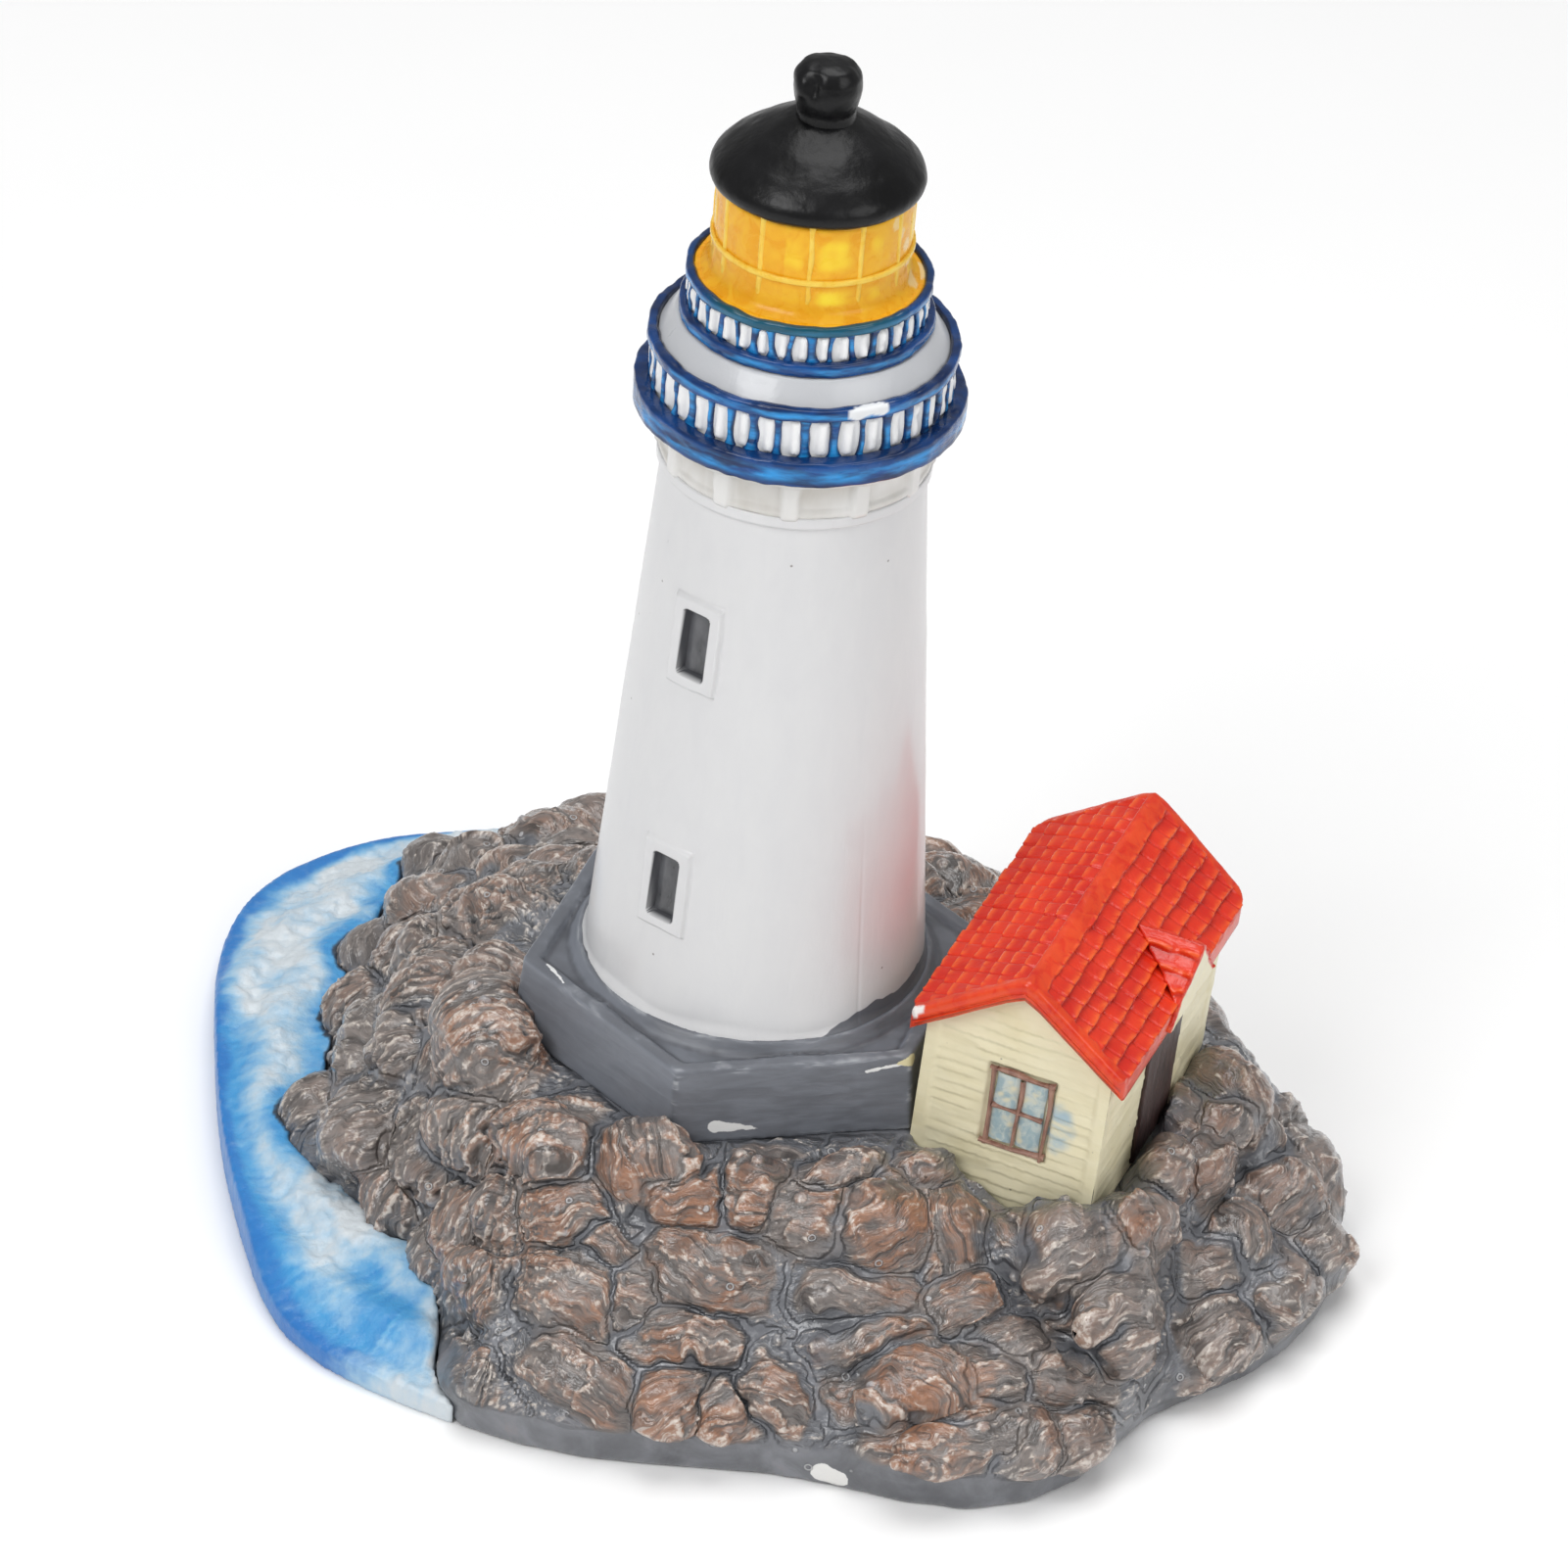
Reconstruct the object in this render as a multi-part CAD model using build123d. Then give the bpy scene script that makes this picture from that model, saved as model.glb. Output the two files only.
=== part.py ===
from build123d import *
import os
from math import atan2, ceil, cos, hypot, pi, radians, sin, tan

# Lighthouse ornament in cast resin, in millimetres.
# The origin is on the ground under the axis of the tower, with the cottage to the right (+X),
# the sea to the left and the back of the base towards +Y.

FIT = 0.1                       # gap all round between a glued piece and its pocket

# Rock base
MOUND_HEIGHT = 24.0             # ground to the flat top that carries the plinth
RIM_HEIGHT = 4.5                # plain upright band round the foot
PLATEAU_MARGIN = 3.0            # rock round the foot of the plinth
ROCK_OUTLINE = [                # foot of the rocks from the front left corner, seen from above
    (-25.5, -41.5), (-8, -45.2), (10, -45.5), (25.5, -48), (36.5, -42.3), (43.5, -31.5),
    (52.5, -24.4), (60.7, -13.5), (63.5, -2), (59, 11), (50.5, 24), (40, 39),
    (23, 53), (0, 58.5), (-18, 57.5), (-35, 54.5), (-41, 39), (-44, 22),
    (-44.5, 7), (-46.5, -4), (-40, -11), (-33, -18), (-28.5, -28),
]
ROCK_SIDES = 54                 # flat facets round the foot
BOULDERS = [                    # share of the way round the foot, share of the climb, length, width
    (0.005, 0.72, 10.5, 5.6), (0.019, 0.45, 10.8, 7), (0.028, 0.66, 6.7, 3.3), (0.031, 1, 10.4, 9.5),
    (0.034, 0.17, 12.5, 6.4), (0.042, 0.5, 4.6, 7), (0.051, 0.88, 10.2, 5.2), (0.061, 0.1, 7.8, 7),
    (0.063, 0.37, 11.3, 5.5), (0.072, 0.63, 13.5, 7), (0.076, 0.07, 5, 7), (0.084, 0.95, 5.9, 8.2),
    (0.094, 0.19, 7.1, 7.8), (0.11, 0.82, 9, 7), (0.122, 0.41, 12.7, 4.7), (0.124, 0.58, 13.2, 5.4),
    (0.131, 1, 9.5, 3.7), (0.141, 0.28, 18.6, 7.7), (0.142, 0.8, 11.6, 9.2), (0.148, 0.1, 16.2, 6.2),
    (0.165, 0.29, 9, 7), (0.167, 0.06, 9, 6), (0.171, 0.54, 9.4, 5.3), (0.179, 0.36, 8.5, 6.5),
    (0.181, 0.74, 8.9, 8.1), (0.185, 0.04, 9.3, 6.2), (0.19, 0.94, 9.1, 5.7), (0.192, 0.22, 10, 7),
    (0.2, 0.57, 8, 6), (0.208, 0.39, 13.2, 9.7), (0.209, 0.04, 8.8, 5.6), (0.211, 0.13, 14.7, 7),
    (0.218, 0.82, 7.9, 4.9), (0.228, 0.62, 8, 6), (0.235, 0.3, 8, 6), (0.246, 0.34, 8.9, 6.1),
    (0.254, 0.08, 11.1, 7), (0.26, 0.66, 8, 6.6), (0.265, 0.94, 9.8, 5.9), (0.27, 0.24, 8, 6),
    (0.274, 0.46, 10.6, 7.4), (0.284, 0.07, 12.2, 7), (0.286, 0.24, 10.2, 8.2), (0.29, 0.73, 9.6, 5.9),
    (0.302, 0.42, 10, 7), (0.31, 0.05, 9, 7), (0.315, 0.59, 10.1, 7.5), (0.32, 0.42, 8, 7),
    (0.321, 0.21, 9.5, 9.5), (0.33, 0.94, 10.4, 6.6), (0.336, 0.3, 8.8, 8.5), (0.337, 0.38, 12.2, 9.3),
    (0.345, 0.08, 10, 7), (0.35, 0.8, 9.3, 5.8), (0.355, 0.66, 10.4, 5.5), (0.67, 0.8, 10.4, 6.9),
    (0.677, 0.24, 7.4, 8.5), (0.685, 0.59, 8.3, 6.4), (0.705, 0.73, 8, 5.6), (0.705, 0.94, 7.5, 6.3),
    (0.709, 0.31, 7.3, 8.5), (0.711, 0.07, 8.1, 7), (0.72, 0.59, 8, 6.7), (0.743, 0.81, 7.8, 8.5),
    (0.745, 0.24, 9.2, 8.5), (0.755, 0.52, 9.7, 6.3), (0.765, 0.06, 9, 7), (0.775, 0.31, 7.6, 7.4),
    (0.775, 0.77, 10.3, 12.1), (0.789, 0.55, 8.5, 8.8), (0.8, 0.1, 9, 7), (0.833, 0.65, 16.9, 10.2),
    (0.837, 0.36, 14.2, 9.2), (0.85, 1, 8.8, 5.7), (0.855, 0.1, 8.8, 7), (0.86, 0.6, 9, 7.5),
    (0.886, 0.27, 13.2, 9.7), (0.906, 0.98, 17.5, 11.4), (0.915, 0.1, 9.9, 7),
    (0.918, 0.41, 10.7, 7.7), (0.929, 0.69, 11.4, 9.1), (0.945, 0.08, 9, 6), (0.95, 0.34, 8.1, 9.1),
    (0.975, 0.59, 9.1, 7.4), (0.975, 0.89, 11.3, 9.2), (0.98, 0.3, 10, 7), (0.995, 0.06, 10, 6),
]
BOULDER_RISE = 0.9              # height as a share of the shorter side, half of it sunk in the slope
BOULDER_LEVELS = [              # share of the half height, share of the half length
    (-0.6, 0.7), (-0.05, 1.0), (0.65, 0.75), (1.0, 0.2),
]
BOULDER_CORNERS = (3, 6, 5, 1)  # at each of those levels
BOULDER_ROUGHNESS = 0.12        # corners in or out, as a share of their reach
BOULDER_DRIFT = 0.3             # along its row or ring, as a share of the spacing either way
BACK_SHARES = (0.355, 0.70)     # the part of the way round behind the cottage and the tower
BACK_ROWS = 4                   # rows of boulders over that part
BACK_LENGTH = 13.0
BACK_WIDTH = 10.0
BACK_SPREAD = 0.2               # larger or smaller, as a share

# Sea
SEA_EDGE = [                    # outer edge of the water from the front to the back
    (-24, -42), (-33, -38), (-42.9, -31), (-49.5, -17), (-54, 0), (-56.5, 16),
    (-57.8, 32), (-55.5, 44), (-49, 52.5), (-40, 58), (-27, 60), (-13, 57.5),
]
SEA_INNER = [(-20, 30), (-20, 0), (-15, -25)]   # inside the rock outline, cut off by the rocks
SWELL_CENTRE = (-8, 12)         # middle of the curved wave crests
SWELL = [                       # distance from the swell centre, height of the water there
    (28, 7.4), (34, 6.6), (39, 5.2), (43, 5.8), (46, 4.4), (49, 4.7), (52, 3.3), (57, 2.7), (68, 2.3),
]

# Hexagonal plinth
PLINTH_HEIGHT = 8.0             # plateau to the deck
PLINTH_FLARE = 0.8              # the corners stand this much further out at the foot
PLINTH_TURN = 14.0              # degrees from +X to a corner
KERB_WIDTH = 1.6
KERB_HEIGHT = 0.7
DECK_WIDTH = 0.3                # kerb to skirt at the middle of a side
SKIRT_WIDTH = 1.3               # grey fillet round the foot of the tower
SKIRT_LIP = 0.4
SKIRT_HEIGHT = 1.6
SPIGOT_RADIUS = 8.0             # peg on the plinth that the tower is glued over
SPIGOT_HEIGHT = 4.0

# Tower
SHAFT_FOOT_RADIUS = 17.5
SHAFT_TOP_RADIUS = 13.0
SHAFT_HEIGHT = 59.0
BEAD_HEIGHT = 1.2               # plain ring between the shaft and the corbels
BEAD_PROUD = 0.5
NECK_RADIUS = 8.0               # stub that carries the corbel ring
WINDOW_TURN = -125.0            # degrees from +X, so the windows face the front left
WINDOW_RISES = (16.2, 43.8)     # foot of the shaft to the middle of each window
WINDOW_WIDTH = 2.8
WINDOW_HEIGHT = 7.0
WINDOW_DEPTH = 1.6              # face of the surround to the back of the recess
PANE_THICKNESS = 0.6
SURROUND_BAND = 1.3
SURROUND_PROUD = 0.35

# Corbel ring
CORBEL_HEIGHT = 5.1
CORBEL_SET = 0.2                # sunk faces between the piers, outside the top of the shaft
CORBEL_PIERS = 12
CORBEL_PIER_WIDTH = 1.8
CORBEL_PIER_PROUD = 0.8
CORBEL_FLANGE_HEIGHT = 1.2

# Lantern
LANTERN_RADIUS = 9.5
LANTERN_HEIGHT = 9.6
COVE_WIDTH = 1.2
COVE_HEIGHT = 2.0
COVE_HOLLOW = 0.3               # share of that width and height left at the middle of the cove
GLAZING_BARS = 12
BAR_WIDTH = 0.6
BAR_PROUD = 0.35
MID_RING_RISE = 3.5             # deck to the underside of the ring
MID_RING_HEIGHT = 0.6

# Galleries
LANTERN_WALK = 0.6              # foot of the lantern to the edge of its gallery drum
LANTERN_LOWER_RAIL_WIDTH = 1.0
LANTERN_LOWER_RAIL_HEIGHT = 1.4
LANTERN_UPPER_RAIL_WIDTH = 0.8
LANTERN_UPPER_RAIL_HEIGHT = 1.1
LANTERN_BALUSTER_HEIGHT = 2.7
LANTERN_BALUSTERS = 36
LANTERN_DECK_THICKNESS = 0.9
MAIN_WALK = 2.0                 # lantern gallery to the edge of the main drum
MAIN_LOWER_RAIL_WIDTH = 1.7
MAIN_LOWER_RAIL_HEIGHT = 2.7
MAIN_UPPER_RAIL_WIDTH = 0.95
MAIN_UPPER_RAIL_HEIGHT = 1.4
MAIN_BALUSTER_HEIGHT = 3.9
MAIN_BALUSTERS = 36
MAIN_DECK_DROP = 0.5            # deck edge below the top of the rail
MAIN_DECK_RISE = 2.4            # deck edge up to the foot of the lantern gallery
BALUSTER_WIDTH = 0.9
BALUSTER_DEPTH = 0.5
RAIL_SEAT = 0.15                # inner edge of an upper rail that rests on its drum
RAIL_CHAMFER = 0.4              # on the outer edges of a rail

# Lantern roof and finial
BRIM_OVERHANG = 1.0             # past the lantern wall
BRIM_HEIGHT = 1.2               # underside to the widest line of the brim
ROOF_HEIGHT = 7.2
ROOF_TOP_MARGIN = 0.4           # flat round the finial
HOOD = [(0.15, 0.24), (0.6, 0.66)]      # shares of the way in from the brim and of the climb
FINIAL_RADIUS = 3.3
FINIAL_NECK_RADIUS = 2.6
FINIAL_HEIGHT = 5.9
FINIAL_STEPS = (0.2, 0.5, 0.8)  # shares of its height: top of the neck, widest line, shoulder
FINIAL_SHOULDER = 0.85          # share of the widest radius at the shoulder

# Cottage, in its own frame: X across the front wall, Y to the back, Z up from the floor line
COTTAGE_TURN = -20.0            # degrees about +Z
COTTAGE_LEAN = 2.7              # degrees down to the right, as the cottage is set in the rocks
COTTAGE_GAP = 0.2               # plinth to the cottage wall beside it
COTTAGE_FRONT = 10.9            # tower axis forward to the front wall, along the cottage
COTTAGE_SINK = 2.0              # floor line below the plateau
COTTAGE_WIDTH = 19.4
COTTAGE_LENGTH = 33.4
COTTAGE_FOOTING = 4.5           # depth of the walls below the floor line
EAVES_HEIGHT = 16.0
ROOF_PITCH = 35.7
ROOF_THICKNESS = 1.6
ROOF_OVERHANG = 1.8             # past the walls, at the eaves and at both gables
VERGE_WIDTH = 1.5               # plain border along each gable
TILE_COURSES = 7
TILE_LENGTH = 2.3               # along the ridge
TILE_STEP = 0.4                 # lower edge of a tile above the one below it
TILE_JOINT = 0.3
PORCH_PLACE = 17.8              # front wall to the middle of the door and of its gable
PORCH_HALF_WIDTH = 6.5
PORCH_RIDGE_DROP = 3.2          # main ridge down to the ridge of the porch
PORCH_OVERHANG = 0.7            # past the eaves of the main roof
PORCH_FASCIA = 1.0
DOOR_WIDTH = 10.0
DOOR_BOTTOM = -3.5
DOOR_HEIGHT = 15.0
DOOR_THICKNESS = 0.9
DOOR_SUNK = 0.5
DOOR_PLANKS = 4
PLANK_GROOVE = 0.35
COTTAGE_WINDOW_PLACE = (0.75, 8.2)      # middle of the window on the front wall
COTTAGE_WINDOW_WIDTH = 7.0
COTTAGE_WINDOW_HEIGHT = 9.8
FRAME_BAND = 0.9
MUNTIN_WIDTH = 0.6
FRAME_THICKNESS = 0.9
FRAME_SUNK = 0.5
GLASS_THICKNESS = 0.6
SHELF_MARGIN = 3.5              # rock ledge round the walls
SHELF_DROP = 2.5                # ledge below the floor line
SHELF_LEAN = 28.0               # degrees of its flanks from upright

# Heights above the ground, from the bottom up
DECK_Z = MOUND_HEIGHT + PLINTH_HEIGHT
SHAFT_TOP_Z = DECK_Z + SHAFT_HEIGHT
CORBEL_Z = SHAFT_TOP_Z + BEAD_HEIGHT
MAIN_Z = CORBEL_Z + CORBEL_HEIGHT
MAIN_BALUSTER_Z = MAIN_Z + MAIN_LOWER_RAIL_HEIGHT
MAIN_UPPER_RAIL_Z = MAIN_BALUSTER_Z + MAIN_BALUSTER_HEIGHT
MAIN_DECK_Z = MAIN_UPPER_RAIL_Z + MAIN_UPPER_RAIL_HEIGHT - MAIN_DECK_DROP
LANTERN_GALLERY_Z = MAIN_DECK_Z + MAIN_DECK_RISE
LANTERN_BALUSTER_Z = LANTERN_GALLERY_Z + LANTERN_LOWER_RAIL_HEIGHT
LANTERN_UPPER_RAIL_Z = LANTERN_BALUSTER_Z + LANTERN_BALUSTER_HEIGHT
LANTERN_Z = LANTERN_UPPER_RAIL_Z + LANTERN_DECK_THICKNESS
ROOF_Z = LANTERN_Z + LANTERN_HEIGHT
FINIAL_Z = ROOF_Z + ROOF_HEIGHT

# Radii about the tower's axis, from the middle out
LANTERN_DRUM_RADIUS = LANTERN_RADIUS + COVE_WIDTH + LANTERN_WALK
LANTERN_LEDGE_RADIUS = LANTERN_DRUM_RADIUS + FIT + LANTERN_LOWER_RAIL_WIDTH
MAIN_DRUM_RADIUS = LANTERN_LEDGE_RADIUS + MAIN_WALK
SHAFT_TAPER = atan2(SHAFT_FOOT_RADIUS - SHAFT_TOP_RADIUS, SHAFT_HEIGHT)
PLINTH_HALF_WIDTH = SHAFT_FOOT_RADIUS + FIT + SKIRT_WIDTH + DECK_WIDTH + KERB_WIDTH
PLINTH_RADIUS = PLINTH_HALF_WIDTH / cos(pi / 6)
PLINTH_FOOT_RADIUS = PLINTH_RADIUS + PLINTH_FLARE
PLATEAU_RADIUS = PLINTH_FOOT_RADIUS + PLATEAU_MARGIN

# The cottage stands beside the plinth: its near wall clears the corner that reaches out furthest
PLINTH_REACH = max(PLINTH_FOOT_RADIUS * cos(radians(PLINTH_TURN + 60 * k - COTTAGE_TURN)) for k in range(6))
COTTAGE_SIDE = PLINTH_REACH + COTTAGE_GAP + COTTAGE_WIDTH / 2
FLOOR_Z = MOUND_HEIGHT - COTTAGE_SINK
COTTAGE_GROUND = Rot(0, 0, COTTAGE_TURN) * Pos(COTTAGE_SIDE, -COTTAGE_FRONT, 0)
COTTAGE = COTTAGE_GROUND * Pos(0, 0, FLOOR_Z) * Rot(0, COTTAGE_LEAN, 0)
ROOF_SLOPE = tan(radians(ROOF_PITCH))
GABLE_HEIGHT = EAVES_HEIGHT + COTTAGE_WIDTH / 2 * ROOF_SLOPE


def turned(*profile):
    """A solid turned about the tower's axis from (radius, height) points."""
    points = [(radius, 0, height) for radius, height in profile]
    return revolve(make_face(Polyline(*points, close=True)), Axis.Z)


def scatter(seed):
    """A value from -1 to 1 that differs from seed to seed and is the same on every run."""
    return (sin(seed * 12.9898) * 43758.5453) % 2.0 - 1.0


def hexagon(radius):
    """The plinth's six sides."""
    return RegularPolygon(radius, 6, rotation=PLINTH_TURN)


def shaft_radius(rise):
    """Radius of the tower at a height above its foot."""
    return SHAFT_FOOT_RADIUS - rise * tan(SHAFT_TAPER)


# Rock base and sea

def rock_foot():
    """Closed curve round the foot of the rocks."""
    return Spline(*ROCK_OUTLINE, periodic=True)


def foot_ring(height):
    """Corners of the faceted foot at one height."""
    foot = rock_foot()
    spots = [foot.position_at(k / ROCK_SIDES) for k in range(ROCK_SIDES)]
    return [Vector(spot.X, spot.Y, height) for spot in spots]


def foot_prism(height):
    """Upright block over the whole foot of the rocks."""
    return extrude(make_face(Polyline(*foot_ring(0), close=True)), height)


def faceted_slope():
    """The mound without its boulders: an upright band, then flat facets up to a round plateau."""
    low = foot_ring(0)
    band = foot_ring(RIM_HEIGHT)
    top = []
    for spot in low:
        share = PLATEAU_RADIUS / hypot(spot.X, spot.Y)
        top.append(Vector(spot.X * share, spot.Y * share, MOUND_HEIGHT))
    corners = [low, top]
    for k in range(ROCK_SIDES):
        corners.append([low[k - 1], low[k], band[k], band[k - 1]])
        corners.append([band[k - 1], band[k], top[k]])
        corners.append([band[k - 1], top[k], top[k - 1]])
    return Part() + Solid(Shell([Face(Wire.make_polygon(points)) for points in corners]))


def shelf_height(x, y):
    """Height of the rock ledge round the cottage above a point of the ground."""
    spot = (COTTAGE_GROUND.inverse() * Pos(x, y, 0)).position
    across = abs(spot.X) - COTTAGE_WIDTH / 2 - SHELF_MARGIN
    along = abs(spot.Y - COTTAGE_LENGTH / 2) - COTTAGE_LENGTH / 2 - SHELF_MARGIN
    return FLOOR_Z - SHELF_DROP - max(across, along, 0) / tan(radians(SHELF_LEAN))


def ledge_plan(spread):
    """The ledge seen from above in the cottage's frame, grown by the spread of its flanks."""
    width = COTTAGE_WIDTH + 2 * SHELF_MARGIN + 2 * spread
    length = COTTAGE_LENGTH + 2 * SHELF_MARGIN + 2 * spread
    return Pos(0, COTTAGE_LENGTH / 2) * Rectangle(width, length)


def boulder(seed, length, width):
    """A blunt many-sided rock that lies along its own X."""
    height = BOULDER_RISE * min(length, width)
    points = []
    for (level, reach), count in zip(BOULDER_LEVELS, BOULDER_CORNERS):
        for k in range(count):
            angle = 2 * pi * (k + BOULDER_DRIFT * scatter(seed + 3 * k)) / count
            spread = reach * (1 + BOULDER_ROUGHNESS * scatter(seed + 5 * k + level))
            x = length / 2 * spread * cos(angle)
            y = width / 2 * spread * sin(angle)
            points.append((x, y, height / 2 * level))
    return ConvexPolyhedron(points)


def back_boulders():
    """Rows of boulders over the back of the slope, each row half a boulder out of step with the last."""
    start, end = BACK_SHARES
    around = rock_foot().length
    rows = []
    for row in range(BACK_ROWS):
        climb = (row + 0.5) / BACK_ROWS
        contour = around + (2 * pi * PLATEAU_RADIUS - around) * climb
        count = ceil(contour * (end - start) / BACK_LENGTH)
        for k in range(count):
            chance = scatter(len(rows))
            share = start + (end - start) * (k + row % 2 / 2 + BOULDER_DRIFT * chance) / count
            size = 1 + BACK_SPREAD * scatter(len(rows) + 1)
            rows.append((share, climb, BACK_LENGTH * size, BACK_WIDTH * size))
    return rows


def slope_place(share, climb):
    """A place on the slope with Z square to it, X along it and Y up it."""
    edge = rock_foot().position_at(share)
    reach = hypot(edge.X, edge.Y)
    run = reach - PLATEAU_RADIUS
    rise = MOUND_HEIGHT - RIM_HEIGHT
    x = edge.X * (1 - run * climb / reach)
    y = edge.Y * (1 - run * climb / reach)
    z = max(RIM_HEIGHT + rise * climb, shelf_height(x, y))
    turn = atan2(edge.Y, edge.X) / pi * 180 + 90
    return Pos(x, y, z) * Rot(0, 0, turn) * Rot(atan2(rise, run) / pi * 180, 0, 0)


def cottage_ledge():
    """Sloping rock block that the cottage stands on, kept inside the foot of the rocks."""
    height = FLOOR_Z - SHELF_DROP
    block = extrude(ledge_plan(height * tan(radians(SHELF_LEAN))), height, taper=SHELF_LEAN)
    return COTTAGE_GROUND * block & foot_prism(MOUND_HEIGHT)


def cottage_pocket():
    """Hollow in the rocks that the walls and the foot of the door go down into."""
    walls = Pos(0, COTTAGE_LENGTH / 2, -COTTAGE_FOOTING) * extrude(
        Rectangle(COTTAGE_WIDTH + 2 * FIT, COTTAGE_LENGTH + 2 * FIT), EAVES_HEIGHT)
    door = Pos(COTTAGE_WIDTH / 2, PORCH_PLACE, DOOR_BOTTOM - FIT) * Box(
        2 * (DOOR_THICKNESS - DOOR_SUNK + FIT), DOOR_WIDTH + 2 * FIT, DOOR_HEIGHT,
        align=(Align.CENTER, Align.CENTER, Align.MIN))
    return COTTAGE * (walls + door)


def rock_mound():
    boulders = []
    for seed, (share, climb, length, width) in enumerate(BOULDERS + back_boulders()):
        boulders.append(slope_place(share, climb) * boulder(seed, length, width))
    rocks = (faceted_slope() + cottage_ledge()).fuse(*boulders)
    seat = Pos(0, 0, MOUND_HEIGHT) * extrude(hexagon(PLINTH_FOOT_RADIUS + FIT), PLINTH_HEIGHT)
    mound = split(rocks - [seat, cottage_pocket()], Plane.XY, Keep.TOP)
    return mound.solids().sort_by(SortBy.VOLUME)[-1]


def sea_apron(rocks):
    edge = Spline(*SEA_EDGE)
    inner = Polyline(SEA_EDGE[-1], *SEA_INNER, SEA_EDGE[0])
    slab = extrude(make_face([edge, inner]), MOUND_HEIGHT)
    near, far = SWELL[0], SWELL[-1]
    surface = Spline(*[(radius, 0, height) for radius, height in SWELL])
    under = Polyline((far[0], 0, far[1]), (far[0], 0, 0), (0, 0, 0), (0, 0, near[1]), (near[0], 0, near[1]))
    swell = Pos(*SWELL_CENTRE) * revolve(make_face([surface, under]), Axis.Z)
    return (slab & swell) - foot_prism(MOUND_HEIGHT) - rocks


# Tower

def tower_plinth():
    kerb_z = DECK_Z + KERB_HEIGHT
    foot = Pos(0, 0, MOUND_HEIGHT) * hexagon(PLINTH_FOOT_RADIUS)
    top = Pos(0, 0, kerb_z) * hexagon(PLINTH_RADIUS)
    well = Pos(0, 0, DECK_Z) * extrude(hexagon(PLINTH_RADIUS - KERB_WIDTH / cos(pi / 6)), KERB_HEIGHT)
    inner_foot = SHAFT_FOOT_RADIUS + FIT
    inner_top = shaft_radius(SKIRT_HEIGHT) + FIT
    skirt = turned((inner_foot, DECK_Z), (inner_foot + SKIRT_WIDTH, DECK_Z),
                   (inner_top + SKIRT_LIP, DECK_Z + SKIRT_HEIGHT), (inner_top, DECK_Z + SKIRT_HEIGHT))
    spigot = Pos(0, 0, DECK_Z) * extrude(Circle(SPIGOT_RADIUS), SPIGOT_HEIGHT)
    return loft([foot, top], ruled=True) - well + skirt + spigot


def window_place(rise):
    """Frame on the tower wall with X straight out of the wall."""
    radius = shaft_radius(rise)
    return Rot(0, 0, WINDOW_TURN) * Pos(radius, 0, DECK_Z + rise) * Rot(0, -SHAFT_TAPER / pi * 180, 0)


def tower_shaft():
    bead = SHAFT_TOP_RADIUS + BEAD_PROUD
    shaft = turned((0, DECK_Z), (SHAFT_FOOT_RADIUS, DECK_Z), (SHAFT_TOP_RADIUS, SHAFT_TOP_Z),
                   (bead, SHAFT_TOP_Z), (bead, CORBEL_Z), (NECK_RADIUS, CORBEL_Z),
                   (NECK_RADIUS, MAIN_Z), (0, MAIN_Z))
    for rise in WINDOW_RISES:
        place = window_place(rise)
        surround = Box(2 * SURROUND_PROUD + WINDOW_DEPTH, WINDOW_WIDTH + 2 * SURROUND_BAND,
                       WINDOW_HEIGHT + 2 * SURROUND_BAND)
        recess = Pos(SURROUND_PROUD - WINDOW_DEPTH, 0, 0) * Box(
            2 * WINDOW_DEPTH, WINDOW_WIDTH, WINDOW_HEIGHT, align=(Align.MIN, Align.CENTER, Align.CENTER))
        shaft = shaft + place * Pos(-WINDOW_DEPTH / 2, 0, 0) * surround
        shaft = shaft - place * recess
    socket = Pos(0, 0, DECK_Z) * extrude(Circle(SPIGOT_RADIUS + FIT), SPIGOT_HEIGHT + FIT)
    return shaft - socket


def tower_window_panes():
    panes = []
    for rise in WINDOW_RISES:
        pane = Box(PANE_THICKNESS, WINDOW_WIDTH - 2 * FIT, WINDOW_HEIGHT - 2 * FIT,
                   align=(Align.MIN, Align.CENTER, Align.CENTER))
        panes.append(window_place(rise) * Pos(SURROUND_PROUD - WINDOW_DEPTH, 0, 0) * pane)
    return panes


def corbel_ring():
    panel = SHAFT_TOP_RADIUS + CORBEL_SET
    flange = MAIN_DRUM_RADIUS + MAIN_LOWER_RAIL_WIDTH / 2
    flange_z = MAIN_Z - CORBEL_FLANGE_HEIGHT
    ring = turned((NECK_RADIUS + FIT, CORBEL_Z), (panel, CORBEL_Z), (panel, flange_z),
                  (flange, MAIN_Z - CORBEL_FLANGE_HEIGHT / 2), (flange, MAIN_Z), (NECK_RADIUS + FIT, MAIN_Z))
    pier = Box(2 * CORBEL_PIER_PROUD, CORBEL_PIER_WIDTH, flange_z - CORBEL_Z,
               align=(Align.CENTER, Align.CENTER, Align.MIN))
    for k in range(CORBEL_PIERS):
        ring = ring + Rot(0, 0, 360 * k / CORBEL_PIERS) * Pos(panel, 0, CORBEL_Z) * pier
    return ring


# Galleries

def rail(inner, width, bottom, height):
    """A ring with its outer edges taken off."""
    section = make_face(Polyline((inner, 0, bottom), (inner + width, 0, bottom),
                                 (inner + width, 0, bottom + height), (inner, 0, bottom + height), close=True))
    outer = section.vertices().group_by(Axis.X)[-1]
    return revolve(chamfer(outer, min(RAIL_CHAMFER, height / 3, width / 3)), Axis.Z)


def balusters(count, radius, bottom, height):
    """Flat uprights against a drum, from the lower rail to the upper one."""
    bar = Box(BALUSTER_DEPTH, BALUSTER_WIDTH, height, align=(Align.MIN, Align.CENTER, Align.MIN))
    return [Rot(0, 0, 360 * (k + 0.5) / count) * Pos(radius, 0, bottom) * bar for k in range(count)]


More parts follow.
